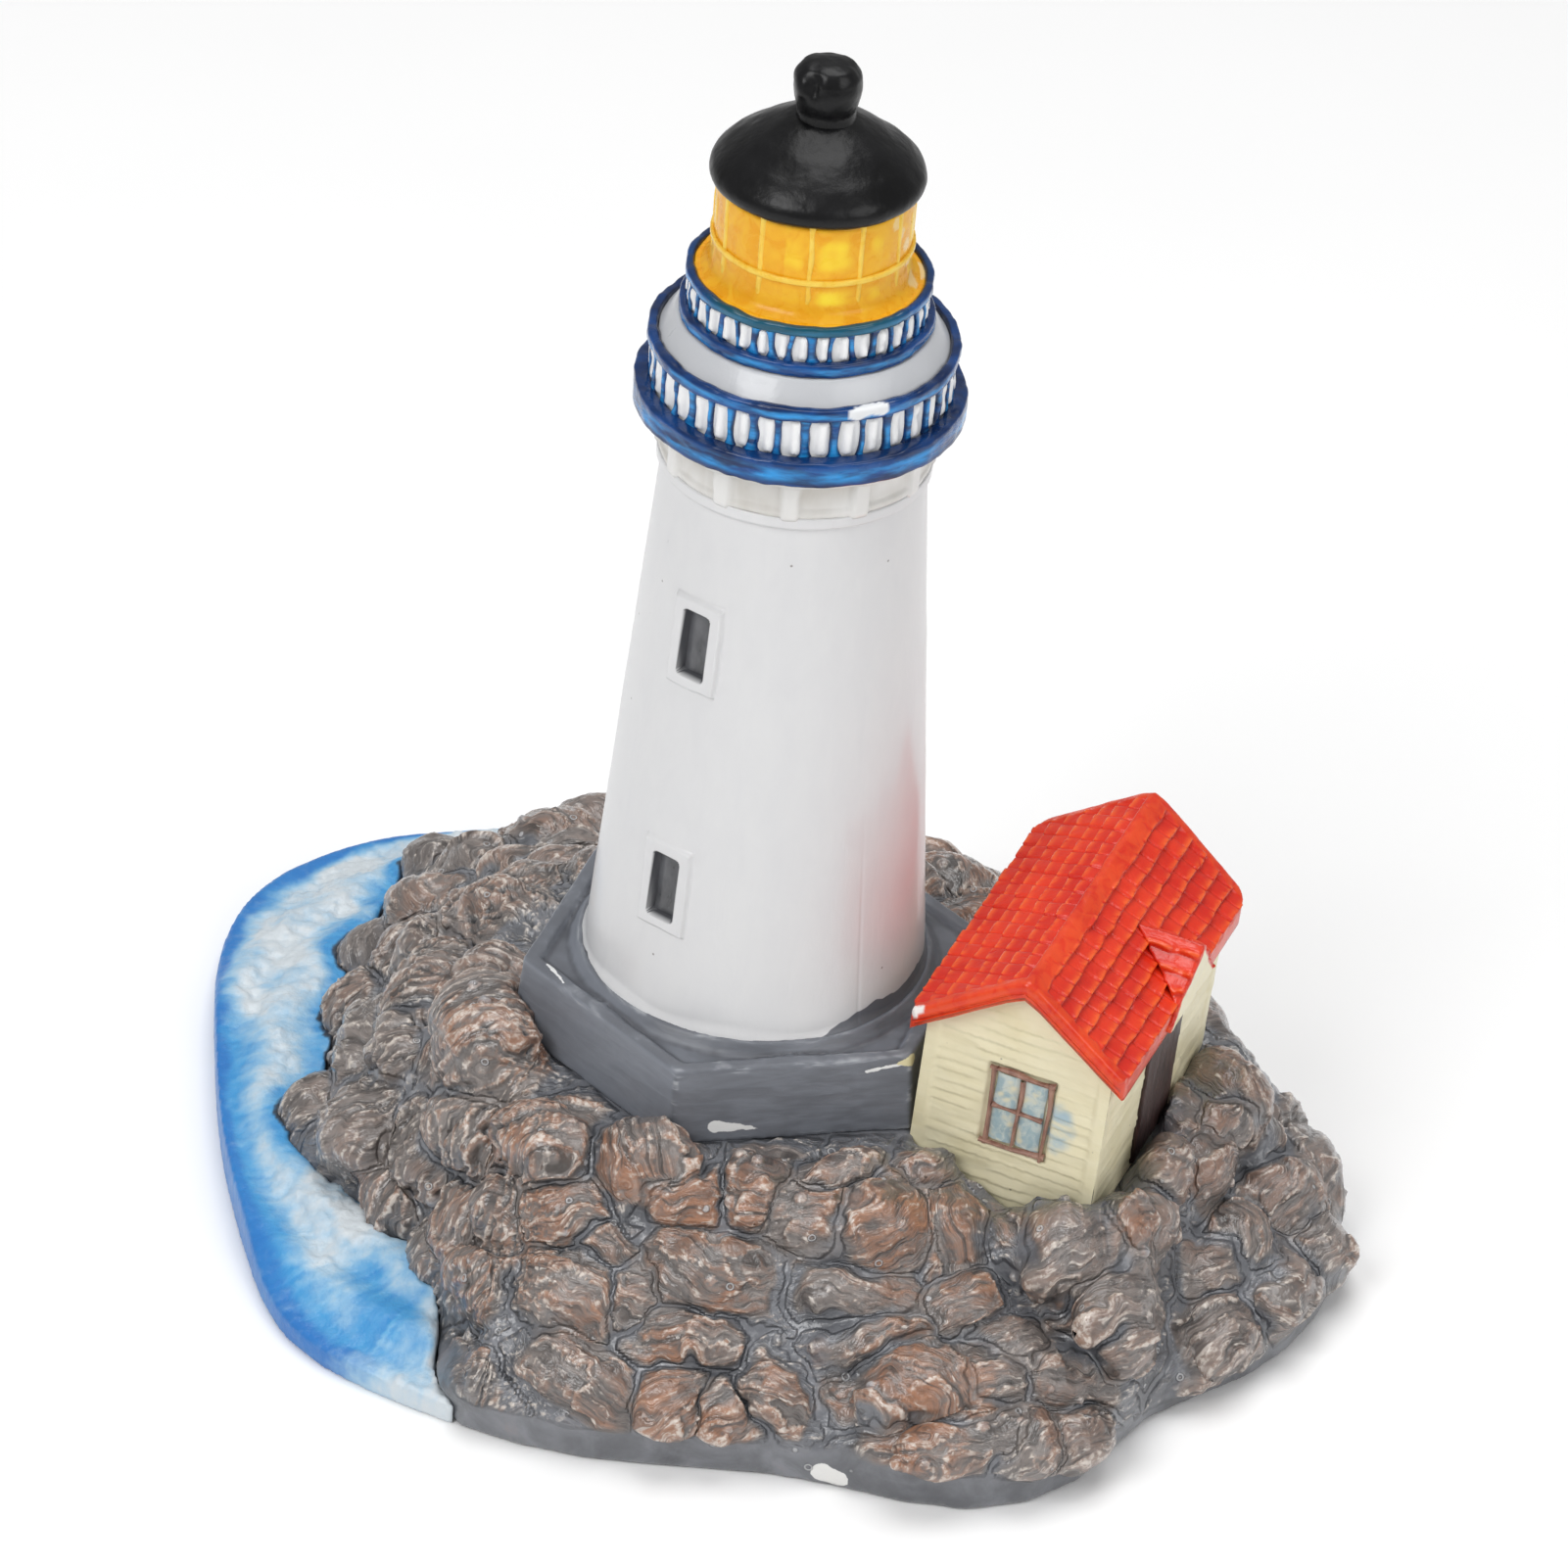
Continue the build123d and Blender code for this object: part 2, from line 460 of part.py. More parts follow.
def main_gallery():
    edge = MAIN_DRUM_RADIUS - RAIL_SEAT - FIT
    return turned((0, MAIN_Z), (MAIN_DRUM_RADIUS, MAIN_Z), (MAIN_DRUM_RADIUS, MAIN_UPPER_RAIL_Z),
                  (edge, MAIN_UPPER_RAIL_Z), (edge, MAIN_DECK_Z), (LANTERN_LEDGE_RADIUS, LANTERN_GALLERY_Z),
                  (0, LANTERN_GALLERY_Z))


def lantern_gallery():
    return turned((0, LANTERN_GALLERY_Z), (LANTERN_DRUM_RADIUS, LANTERN_GALLERY_Z),
                  (LANTERN_DRUM_RADIUS, LANTERN_UPPER_RAIL_Z), (0, LANTERN_UPPER_RAIL_Z))


def lantern_deck():
    edge = LANTERN_DRUM_RADIUS - RAIL_SEAT - FIT
    return turned((0, LANTERN_UPPER_RAIL_Z), (edge, LANTERN_UPPER_RAIL_Z), (edge, LANTERN_Z), (0, LANTERN_Z))


# Lantern

def lantern_room():
    foot = LANTERN_RADIUS + COVE_WIDTH
    wall = Polyline((LANTERN_RADIUS, 0, LANTERN_Z + COVE_HEIGHT), (LANTERN_RADIUS, 0, ROOF_Z), (0, 0, ROOF_Z),
                    (0, 0, LANTERN_Z), (foot, 0, LANTERN_Z))
    middle = (LANTERN_RADIUS + COVE_WIDTH * COVE_HOLLOW, 0, LANTERN_Z + COVE_HEIGHT * COVE_HOLLOW)
    cove = ThreePointArc((foot, 0, LANTERN_Z), middle, (LANTERN_RADIUS, 0, LANTERN_Z + COVE_HEIGHT))
    return revolve(make_face([wall, cove]), Axis.Z)


def lantern_mid_ring():
    inner = LANTERN_RADIUS + FIT / 2
    bottom = LANTERN_Z + MID_RING_RISE
    return turned((inner, bottom), (LANTERN_RADIUS + BAR_PROUD, bottom),
                  (LANTERN_RADIUS + BAR_PROUD, bottom + MID_RING_HEIGHT), (inner, bottom + MID_RING_HEIGHT))


def lantern_glazing_bars():
    ring_z = LANTERN_Z + MID_RING_RISE
    spans = [(LANTERN_Z + COVE_HEIGHT, ring_z), (ring_z + MID_RING_HEIGHT, ROOF_Z)]
    bars = []
    for bottom, top in spans:
        bar = Box(BAR_PROUD, BAR_WIDTH, top - bottom, align=(Align.MIN, Align.CENTER, Align.MIN))
        for k in range(GLAZING_BARS):
            bars.append(Rot(0, 0, 360 * k / GLAZING_BARS) * Pos(LANTERN_RADIUS, 0, bottom) * bar)
    return bars


def lantern_roof():
    brim = LANTERN_RADIUS + BRIM_OVERHANG
    flat = FINIAL_NECK_RADIUS + ROOF_TOP_MARGIN
    under = Polyline((flat, 0, FINIAL_Z), (0, 0, FINIAL_Z), (0, 0, ROOF_Z), (LANTERN_RADIUS, 0, ROOF_Z))
    brim_z = ROOF_Z + BRIM_HEIGHT
    lip = TangentArc((brim, 0, brim_z), (LANTERN_RADIUS, 0, ROOF_Z), tangent=(0, 0, -1))
    shoulders = [(brim - (brim - flat) * inward, 0, brim_z + (FINIAL_Z - brim_z) * climb)
                 for inward, climb in HOOD]
    hood = Spline((brim, 0, brim_z), *shoulders, (flat, 0, FINIAL_Z))
    return revolve(make_face([under, lip, hood]), Axis.Z)


def roof_finial():
    neck, widest, shoulder = [FINIAL_Z + FINIAL_HEIGHT * step for step in FINIAL_STEPS]
    tip = (0, 0, FINIAL_Z + FINIAL_HEIGHT)
    base = Polyline(tip, (0, 0, FINIAL_Z), (FINIAL_NECK_RADIUS, 0, FINIAL_Z))
    knob = Spline((FINIAL_NECK_RADIUS, 0, FINIAL_Z), (FINIAL_NECK_RADIUS, 0, neck), (FINIAL_RADIUS, 0, widest),
                  (FINIAL_RADIUS * FINIAL_SHOULDER, 0, shoulder), tip, tangents=[(0, 0, 1), (-1, 0, 0)])
    return revolve(make_face([base, knob]), Axis.Z)


# Cottage

def gable(half_width, eaves, ridge, bottom):
    """Outline of a gable end in the XZ plane."""
    return make_face(Polyline((-half_width, 0, bottom), (half_width, 0, bottom), (half_width, 0, eaves),
                              (0, 0, ridge), (-half_width, 0, eaves), close=True))


def chevron(thickness, start, end):
    """Both slopes of the roof, a slab of even thickness between two distances from the front wall."""
    rise = thickness / cos(radians(ROOF_PITCH))
    reach = COTTAGE_WIDTH / 2 + ROOF_OVERHANG
    eave = GABLE_HEIGHT - reach * ROOF_SLOPE
    outline = Polyline((-reach, start, eave), (0, start, GABLE_HEIGHT), (reach, start, eave),
                       (reach, start, eave + rise), (0, start, GABLE_HEIGHT + rise),
                       (-reach, start, eave + rise), close=True)
    return extrude(make_face(outline), end - start, dir=(0, 1, 0))


def cottage_walls():
    body = extrude(gable(COTTAGE_WIDTH / 2, EAVES_HEIGHT, GABLE_HEIGHT, -COTTAGE_FOOTING),
                   COTTAGE_LENGTH, dir=(0, 1, 0))
    window = Pos(COTTAGE_WINDOW_PLACE[0], 0, COTTAGE_WINDOW_PLACE[1]) * Box(
        COTTAGE_WINDOW_WIDTH + 2 * FIT, 2 * FRAME_SUNK, COTTAGE_WINDOW_HEIGHT + 2 * FIT)
    door = Pos(COTTAGE_WIDTH / 2, PORCH_PLACE, DOOR_BOTTOM + DOOR_HEIGHT / 2) * Box(
        2 * DOOR_SUNK, DOOR_WIDTH + 2 * FIT, DOOR_HEIGHT + 2 * FIT)
    return COTTAGE * (body - window - door)


def tile_courses(side):
    """Wedges laid down one slope, each thick at its lower edge, for side 1 (right) or -1 (left)."""
    reach = COTTAGE_WIDTH / 2 + ROOF_OVERHANG
    course = reach / TILE_COURSES
    base = GABLE_HEIGHT + ROOF_THICKNESS / cos(radians(ROOF_PITCH))
    step = TILE_STEP / cos(radians(ROOF_PITCH))
    start = VERGE_WIDTH - ROOF_OVERHANG
    run = COTTAGE_LENGTH + 2 * ROOF_OVERHANG - 2 * VERGE_WIDTH
    count = round(run / TILE_LENGTH)
    pitch = run / count
    wedges = []
    for row in range(TILE_COURSES):
        upper = (row * course, base - row * course * ROOF_SLOPE)
        lower = ((row + 1) * course, base - (row + 1) * course * ROOF_SLOPE)
        section = [upper, lower, (lower[0], lower[1] + step)]
        joints = [start]
        joints += [start + pitch * (k + 0.5 * (row % 2)) for k in range(1 - row % 2, count)]
        joints.append(start + run)
        for near, far in zip(joints[:-1], joints[1:]):
            begin = near + TILE_JOINT / 2
            outline = Polyline(*[(side * x, begin, z) for x, z in section], close=True)
            wedges.append(extrude(make_face(outline), far - near - TILE_JOINT, dir=(0, 1, 0)))
    return wedges


def cottage_roof():
    front = -ROOF_OVERHANG
    back = COTTAGE_LENGTH + ROOF_OVERHANG
    slab = chevron(ROOF_THICKNESS, front, back)
    verges = [chevron(ROOF_THICKNESS + TILE_STEP, front, front + VERGE_WIDTH),
              chevron(ROOF_THICKNESS + TILE_STEP, back - VERGE_WIDTH, back)]
    return COTTAGE * slab.fuse(*verges, *tile_courses(1), *tile_courses(-1))


def cottage_porch_roof():
    ridge = GABLE_HEIGHT - PORCH_RIDGE_DROP + (ROOF_THICKNESS + TILE_STEP) / cos(radians(ROOF_PITCH))
    reach = COTTAGE_WIDTH / 2 + ROOF_OVERHANG + PORCH_OVERHANG
    eaves = GABLE_HEIGHT - reach * ROOF_SLOPE + PORCH_FASCIA
    soffit = eaves - PORCH_FASCIA
    outline = Polyline((0, -PORCH_HALF_WIDTH, soffit), (0, PORCH_HALF_WIDTH, soffit),
                       (0, PORCH_HALF_WIDTH, eaves), (0, 0, ridge), (0, -PORCH_HALF_WIDTH, eaves), close=True)
    porch = Pos(0, PORCH_PLACE, 0) * extrude(make_face(outline), reach, dir=(1, 0, 0))
    main = chevron(ROOF_THICKNESS + TILE_STEP, -ROOF_OVERHANG, COTTAGE_LENGTH + ROOF_OVERHANG)
    inside = extrude(gable(COTTAGE_WIDTH / 2, EAVES_HEIGHT, GABLE_HEIGHT, -COTTAGE_FOOTING),
                     COTTAGE_LENGTH, dir=(0, 1, 0))
    return COTTAGE * (porch - main - inside).solids().sort_by(SortBy.VOLUME)[-1]


def cottage_door():
    panel = Box(DOOR_THICKNESS, DOOR_WIDTH, DOOR_HEIGHT, align=(Align.MIN, Align.CENTER, Align.MIN))
    for k in range(1, DOOR_PLANKS):
        groove = Pos(DOOR_THICKNESS, DOOR_WIDTH * (k / DOOR_PLANKS - 0.5), DOOR_HEIGHT / 2) * Box(
            PLANK_GROOVE, PLANK_GROOVE, DOOR_HEIGHT)
        panel = panel - groove
    return COTTAGE * Pos(COTTAGE_WIDTH / 2 - DOOR_SUNK, PORCH_PLACE, DOOR_BOTTOM) * panel


def window_lights():
    """The four openings of the window frame, as (middle x, middle z, width, height)."""
    width = (COTTAGE_WINDOW_WIDTH - 2 * FRAME_BAND - MUNTIN_WIDTH) / 2
    height = (COTTAGE_WINDOW_HEIGHT - 2 * FRAME_BAND - MUNTIN_WIDTH) / 2
    lights = []
    for column in (-1, 1):
        for row in (-1, 1):
            x = COTTAGE_WINDOW_PLACE[0] + column * (width + MUNTIN_WIDTH) / 2
            z = COTTAGE_WINDOW_PLACE[1] + row * (height + MUNTIN_WIDTH) / 2
            lights.append((x, z, width, height))
    return lights


def cottage_window_frame():
    place = Pos(COTTAGE_WINDOW_PLACE[0], FRAME_SUNK, COTTAGE_WINDOW_PLACE[1])
    frame = place * Box(COTTAGE_WINDOW_WIDTH, FRAME_THICKNESS, COTTAGE_WINDOW_HEIGHT,
                        align=(Align.CENTER, Align.MAX, Align.CENTER))
    for x, z, width, height in window_lights():
        frame = frame - Pos(x, 0, z) * Box(width, 4 * FRAME_THICKNESS, height)
    return COTTAGE * frame


def cottage_window_panes():
    panes = []
    for x, z, width, height in window_lights():
        pane = Box(width - FIT, GLASS_THICKNESS, height - FIT, align=(Align.CENTER, Align.MAX, Align.CENTER))
        panes.append(COTTAGE * Pos(x, FRAME_SUNK, z) * pane)
    return panes


rocks = rock_mound()
pieces = {
    "rock_mound": rocks,
    "sea_apron": sea_apron(rocks),
    "tower_plinth": tower_plinth(),
    "tower_shaft": tower_shaft(),
    "tower_window_panes": tower_window_panes(),
    "corbel_ring": corbel_ring(),
    "main_gallery": main_gallery(),
    "main_gallery_lower_rail": rail(MAIN_DRUM_RADIUS + FIT, MAIN_LOWER_RAIL_WIDTH, MAIN_Z,
                                    MAIN_LOWER_RAIL_HEIGHT),
    "main_gallery_balusters": balusters(MAIN_BALUSTERS, MAIN_DRUM_RADIUS, MAIN_BALUSTER_Z,
                                        MAIN_BALUSTER_HEIGHT),
    "main_gallery_upper_rail": rail(MAIN_DRUM_RADIUS - RAIL_SEAT, MAIN_UPPER_RAIL_WIDTH, MAIN_UPPER_RAIL_Z,
                                    MAIN_UPPER_RAIL_HEIGHT),
    "lantern_gallery": lantern_gallery(),
    "lantern_gallery_lower_rail": rail(LANTERN_DRUM_RADIUS + FIT, LANTERN_LOWER_RAIL_WIDTH, LANTERN_GALLERY_Z,
                                       LANTERN_LOWER_RAIL_HEIGHT),
    "lantern_gallery_balusters": balusters(LANTERN_BALUSTERS, LANTERN_DRUM_RADIUS, LANTERN_BALUSTER_Z,
                                           LANTERN_BALUSTER_HEIGHT),
    "lantern_gallery_upper_rail": rail(LANTERN_DRUM_RADIUS - RAIL_SEAT, LANTERN_UPPER_RAIL_WIDTH,
                                       LANTERN_UPPER_RAIL_Z, LANTERN_UPPER_RAIL_HEIGHT),
    "lantern_deck": lantern_deck(),
    "lantern_room": lantern_room(),
    "lantern_mid_ring": lantern_mid_ring(),
    "lantern_glazing_bars": lantern_glazing_bars(),
    "lantern_roof": lantern_roof(),
    "roof_finial": roof_finial(),
    "cottage_walls": cottage_walls(),
    "cottage_roof": cottage_roof(),
    "cottage_porch_roof": cottage_porch_roof(),
    "cottage_door": cottage_door(),
    "cottage_window_frame": cottage_window_frame(),
    "cottage_window_panes": cottage_window_panes(),
}

os.makedirs("parts", exist_ok=True)
for name, shape in pieces.items():
    solids = ShapeList(shape).solids() if isinstance(shape, list) else shape.solids()
    export_step(solids[0] if len(solids) == 1 else Compound(children=list(solids)), f"parts/{name}.step")
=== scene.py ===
import math
import bmesh
import bpy
import numpy as np
from mathutils import Matrix, Vector
from mathutils.bvhtree import BVHTree


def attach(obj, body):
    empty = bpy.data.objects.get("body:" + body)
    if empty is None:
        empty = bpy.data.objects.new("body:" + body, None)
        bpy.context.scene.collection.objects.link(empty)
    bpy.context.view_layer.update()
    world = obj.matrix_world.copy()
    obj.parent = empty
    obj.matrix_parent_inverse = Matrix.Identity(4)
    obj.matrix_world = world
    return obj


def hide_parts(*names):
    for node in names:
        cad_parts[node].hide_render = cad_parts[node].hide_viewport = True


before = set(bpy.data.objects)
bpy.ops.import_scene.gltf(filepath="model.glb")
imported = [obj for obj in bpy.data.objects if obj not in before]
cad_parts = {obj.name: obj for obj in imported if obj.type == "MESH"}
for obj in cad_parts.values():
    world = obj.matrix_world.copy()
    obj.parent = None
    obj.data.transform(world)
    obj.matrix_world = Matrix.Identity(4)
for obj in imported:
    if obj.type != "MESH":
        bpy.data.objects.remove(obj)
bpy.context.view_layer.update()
MM = 0.001

# Sizes of the solids that the painted pieces are laid over, in millimetres.
DECK_Z = 32.0
SHAFT_TOP_Z = 91.0
CORBEL_Z = 92.2
MAIN_Z = 97.3
MAIN_BALUSTER_Z = 100.0
MAIN_UPPER_Z = 103.9
MAIN_DECK_Z = 104.8
LANTERN_GALLERY_Z = 107.2
LANTERN_BALUSTER_Z = 108.6
LANTERN_UPPER_Z = 111.3
LANTERN_Z = 112.2
ROOF_Z = 121.8
FINIAL_Z = 129.0
TOP_Z = 134.9
SHAFT_FOOT = 17.5
SHAFT_TOP = 13.0
MAIN_DRUM = 14.4
LEDGE = 12.4
LANTERN_DRUM = 11.3
LANTERN = 9.5
BRIM = 10.5
BALUSTERS = 36
PANES = 12
PLINTH_HALF = 20.8
PLINTH_TURN = math.radians(14)
WINDOW_TURN = math.radians(-125)
WINDOW_Z = (48.2, 75.8)
WINDOW_PROUD = 0.35
COTTAGE_HALF = 9.7
COTTAGE_LENGTH = 33.4
COTTAGE_FOOTING = 4.5
EAVES = 16.0
PITCH = math.radians(35.7)
OVERHANG = 1.8
PORCH_Y = 17.8
COTTAGE_WINDOW = (0.75, 8.2)
COTTAGE = (Matrix.Rotation(math.radians(-20), 4, "Z") @ Matrix.Translation((32.206, -10.9, 22.0))
           @ Matrix.Rotation(math.radians(2.7), 4, "Y"))
# Spacing of the nets that are laid over solids
NETS = {"rock_mound": 0.38, "sea_apron": 0.4, "tower_plinth": 0.33, "cottage_porch_roof": 0.17,
        "cottage_door": 0.18}
SEA_EDGE = np.array([
    (-24, -42), (-33, -38), (-42.9, -31), (-49.5, -17), (-54, 0), (-56.5, 16),
    (-57.8, 32), (-55.5, 44), (-49, 52.5), (-40, 58), (-27, 60), (-13, 57.5)], float)

STONES = np.array([  # x, y, z, length, width
    (-16.6, -29.2, 18.5, 10.5, 5.6), (-15.6, -35.5, 13.3, 10.8, 7), (-11.8, -32.3, 17.4, 6.7, 3.3),
    (-8.9, -26.3, 24, 10.4, 9.5), (-13.1, -41.6, 7.8, 12.5, 6.4), (-9, -36, 14.2, 4.6, 7),
    (-5.3, -29.5, 21.7, 10.2, 5.2), (-4.5, -43.4, 6.5, 7.8, 7), (-3.4, -38.7, 11.7, 11.3, 5.5),
    (-0.6, -34.2, 16.8, 13.5, 7), (0.6, -43.8, 5.9, 5, 7), (2.1, -28.6, 23, 5.9, 8.2),
    (6.4, -41.8, 8.2, 7.1, 7.8), (8.2, -30.3, 20.5, 9, 7), (13.5, -38.5, 12.5, 12.7, 4.7),
    (12.7, -35, 15.8, 13.2, 5.4), (10.6, -25.7, 24, 9.5, 3.7), (19.9, -41.6, 10, 18.6, 7.7),
    (14.4, -29.6, 20.1, 11.6, 9.2), (24.2, -45.7, 6.5, 16.2, 6.2), (26.6, -39.6, 10.2, 9, 7),
    (30.8, -44.6, 5.7, 9, 6), (24, -33, 15, 9.4, 5.3), (28.8, -35.7, 11.5, 8.5, 6.5),
    (22.4, -27.1, 18.9, 8.9, 8.1), (35.9, -41.3, 5.3, 9.3, 6.2), (20, -21.6, 22.8, 9.1, 5.7),
    (33.9, -35.7, 8.8, 10, 7), (28.5, -27.2, 16.9, 8, 6), (33.2, -28.6, 17.4, 13.2, 9.7),
    (40.3, -34.3, 11.6, 8.8, 5.6), (38.8, -32.2, 14.6, 14.7, 7), (25.9, -19.6, 20.5, 7.9, 4.9),
    (31.6, -20.8, 19.5, 8, 6), (40.1, -24.1, 18.4, 8, 6), (41.6, -21.6, 17.5, 8.9, 6.1),
    (50.3, -23.4, 6.1, 11.1, 7), (35.3, -15, 19.5, 8, 6.6), (27.7, -10.9, 22.8, 9.8, 5.9),
    (49.2, -17.8, 9.2, 8, 6), (43.1, -14.5, 19.5, 10.6, 7.4), (56.9, -15.7, 5.9, 12.2, 7),
    (51.7, -13.7, 9.2, 10.2, 8.2), (36, -8.7, 19.5, 9.6, 5.9), (47.4, -8.2, 15.8, 10, 7),
    (61, -7.8, 5.5, 9, 7), (42.2, -4.2, 19.5, 10.1, 7.5), (48.4, -3.5, 17.1, 8, 7),
    (55.9, -3.7, 8.6, 9.5, 9.5), (30, -0.5, 22.8, 10.4, 6.6), (52.5, 0.8, 12.6, 8.8, 8.5),
    (49.7, 1, 17.8, 12.2, 9.3), (59.5, 3.8, 6.1, 10, 7), (34.5, 3.2, 20.1, 9.3, 5.8),
    (39, 4.6, 19.5, 10.4, 5.5), (-14.4, 31.7, 20.1, 10.4, 6.9), (-24.6, 49.3, 9.2, 7.4, 8.5),
    (-20.7, 37.5, 16, 8.3, 6.4), (-21.6, 30.8, 18.7, 8, 5.6), (-17.2, 24.6, 22.8, 7.5, 6.3),
    (-31, 42.3, 10.5, 7.3, 8.5), (-36.4, 48.7, 5.9, 8.1, 7), (-26.4, 32.3, 16, 8, 6.7),
    (-23.9, 23.3, 20.3, 7.8, 8.5), (-36, 34.4, 9.2, 9.2, 8.5), (-31, 26.6, 14.6, 9.7, 6.3),
    (-41.3, 31.4, 5.7, 9, 7), (-37, 24.8, 10.5, 7.6, 7.4), (-27.7, 18.6, 19.5, 10.3, 12.1),
    (-33.2, 18.2, 15.2, 8.5, 8.8), (-42.1, 19.4, 6.5, 9, 7), (-33.2, 6.5, 17.2, 16.9, 10.2),
    (-38.3, 6.3, 11.5, 14.2, 9.2), (-27.8, 1.8, 24, 8.8, 5.7), (-44.4, 1.2, 6.5, 8.8, 7),
    (-35.3, -0.3, 16.2, 9, 7.5), (-39, -7.5, 9.8, 13.2, 9.7), (-26.6, -9, 23.6, 17.5, 11.4),
    (-34.6, -14.6, 6.5, 9.9, 7), (-31, -14, 12.5, 10.7, 7.7), (-26.7, -15.4, 18, 11.4, 9.1),
    (-29, -23, 6.1, 9, 6), (-26.3, -22.8, 11.1, 8.1, 9.1), (-22.2, -26.4, 16, 9.1, 7.4),
    (-19.1, -22.7, 21.9, 11.3, 9.2), (-25.1, -31.5, 10.3, 10, 7), (-26.2, -39.5, 5.7, 10, 6),
    (58.1, 3.3, 6.9, 15.4, 11.8), (48.7, 20.4, 6.9, 10.5, 8.1), (45.7, 25, 6.9, 14.5, 11.1),
    (34.8, 39.6, 6.9, 11.4, 8.7), (28.7, 45, 6.9, 11.6, 8.9), (17.6, 51.3, 6.9, 12, 9.3),
    (4.8, 54.4, 6.9, 10.8, 8.3), (-6, 54.5, 6.9, 11.3, 8.7), (-19.1, 53.5, 6.9, 14.4, 11.1),
    (45, 12.8, 16.8, 15.5, 11.9), (37.8, 24.4, 11.8, 12.5, 9.6), (33.1, 30.9, 11.8, 13.5, 10.4),
    (23.2, 40, 11.8, 13, 10), (12.9, 45, 11.8, 12.5, 9.6), (1.6, 46.9, 11.8, 11.5, 8.9),
    (-9.1, 46.4, 11.8, 12.8, 9.9), (-22.6, 44.9, 11.8, 11.5, 8.9), (40.6, 3, 19.5, 14.7, 11.3),
    (34.4, 16.9, 16.7, 13.8, 10.6), (28.3, 25.8, 16.7, 12.4, 9.5), (21.2, 32.4, 16.7, 14.4, 11.1),
    (8.2, 38.4, 16.7, 12.1, 9.3), (-0.2, 39.3, 16.7, 11.5, 8.8), (-10.9, 38.3, 16.7, 10.8, 8.3),
    (31.2, 6.1, 21.6, 13.9, 10.7), (24.6, 19.3, 21.6, 14.3, 11), (15.9, 27.2, 21.6, 10.4, 8),
    (10.5, 29.8, 21.6, 13.4, 10.3), (-4, 31.4, 21.6, 11.5, 8.8), (-11.9, 29.8, 21.6, 13, 10),
], float)


# Noise

def columns(*values):
    """Rows of numbers, such as points, from their columns. A single number fills its column."""
    return np.stack(np.broadcast_arrays(*values), axis=1)


def hashed(cell, seed):
    """A value from -1 to 1 for each whole-number cell."""
    n = (cell[:, 0] * 73856093) ^ (cell[:, 1] * 19349663) ^ (cell[:, 2] * 83492791) ^ (seed * 668265263)
    n = n & 0xFFFFFFFF
    for _ in range(2):
        n = (((n >> 16) ^ n) * 0x45D9F3B) & 0xFFFFFFFF
    n = (n >> 16) ^ n
    return (n & 0xFFFFFF) / 0xFFFFFF * 2.0 - 1.0


def noise(p, seed=0):
    """Smooth noise from -1 to 1 at each point."""
    cell = np.floor(p).astype(np.int64)
    f = p - cell
    u = f * f * f * (f * (f * 6 - 15) + 10)
    total = np.zeros(len(p))
    for corner in np.ndindex(2, 2, 2):
        weight = np.prod(np.where(np.array(corner), u, 1 - u), axis=1)
        total += weight * hashed(cell + np.array(corner), seed)
    return total


def fbm(p, octaves=3, seed=0):
    """Noise with finer noise on top."""
    total = np.zeros(len(p))
    share = 0.55
    for k in range(octaves):
        total += share * noise(p * 2.03 ** k, seed + 17 * k)
        share *= 0.5
    return total


def cells(p, seed=0):
    """Distance to the nearest and the next of some scattered points, and a value for the nearest."""
    base = np.floor(p).astype(np.int64)
    first = np.full(len(p), 9.0)
    second = np.full(len(p), 9.0)
    value = np.zeros(len(p))
    for step in np.ndindex(3, 3, 3):
        cell = base + np.array(step) - 1
        spot = cell + 0.5 + 0.42 * columns(*(hashed(cell, seed + k) for k in (1, 2, 3)))
        d = np.linalg.norm(p - spot, axis=1)
        near = d < first
        second = np.where(near, first, np.minimum(second, d))
        value = np.where(near, hashed(cell, seed + 9), value)
        first = np.where(near, d, first)
    return first, second, value


def smoothstep(lo, hi, x):
    t = np.clip((x - lo) / (hi - lo), 0, 1)
    return t * t * (3 - 2 * t)


def mix(a, b, t):
    return a + (b - a) * t


def heading(angle):
    return np.array([math.cos(angle), math.sin(angle), 0])


# Meshes: points in millimetres, quads as rows of four indices

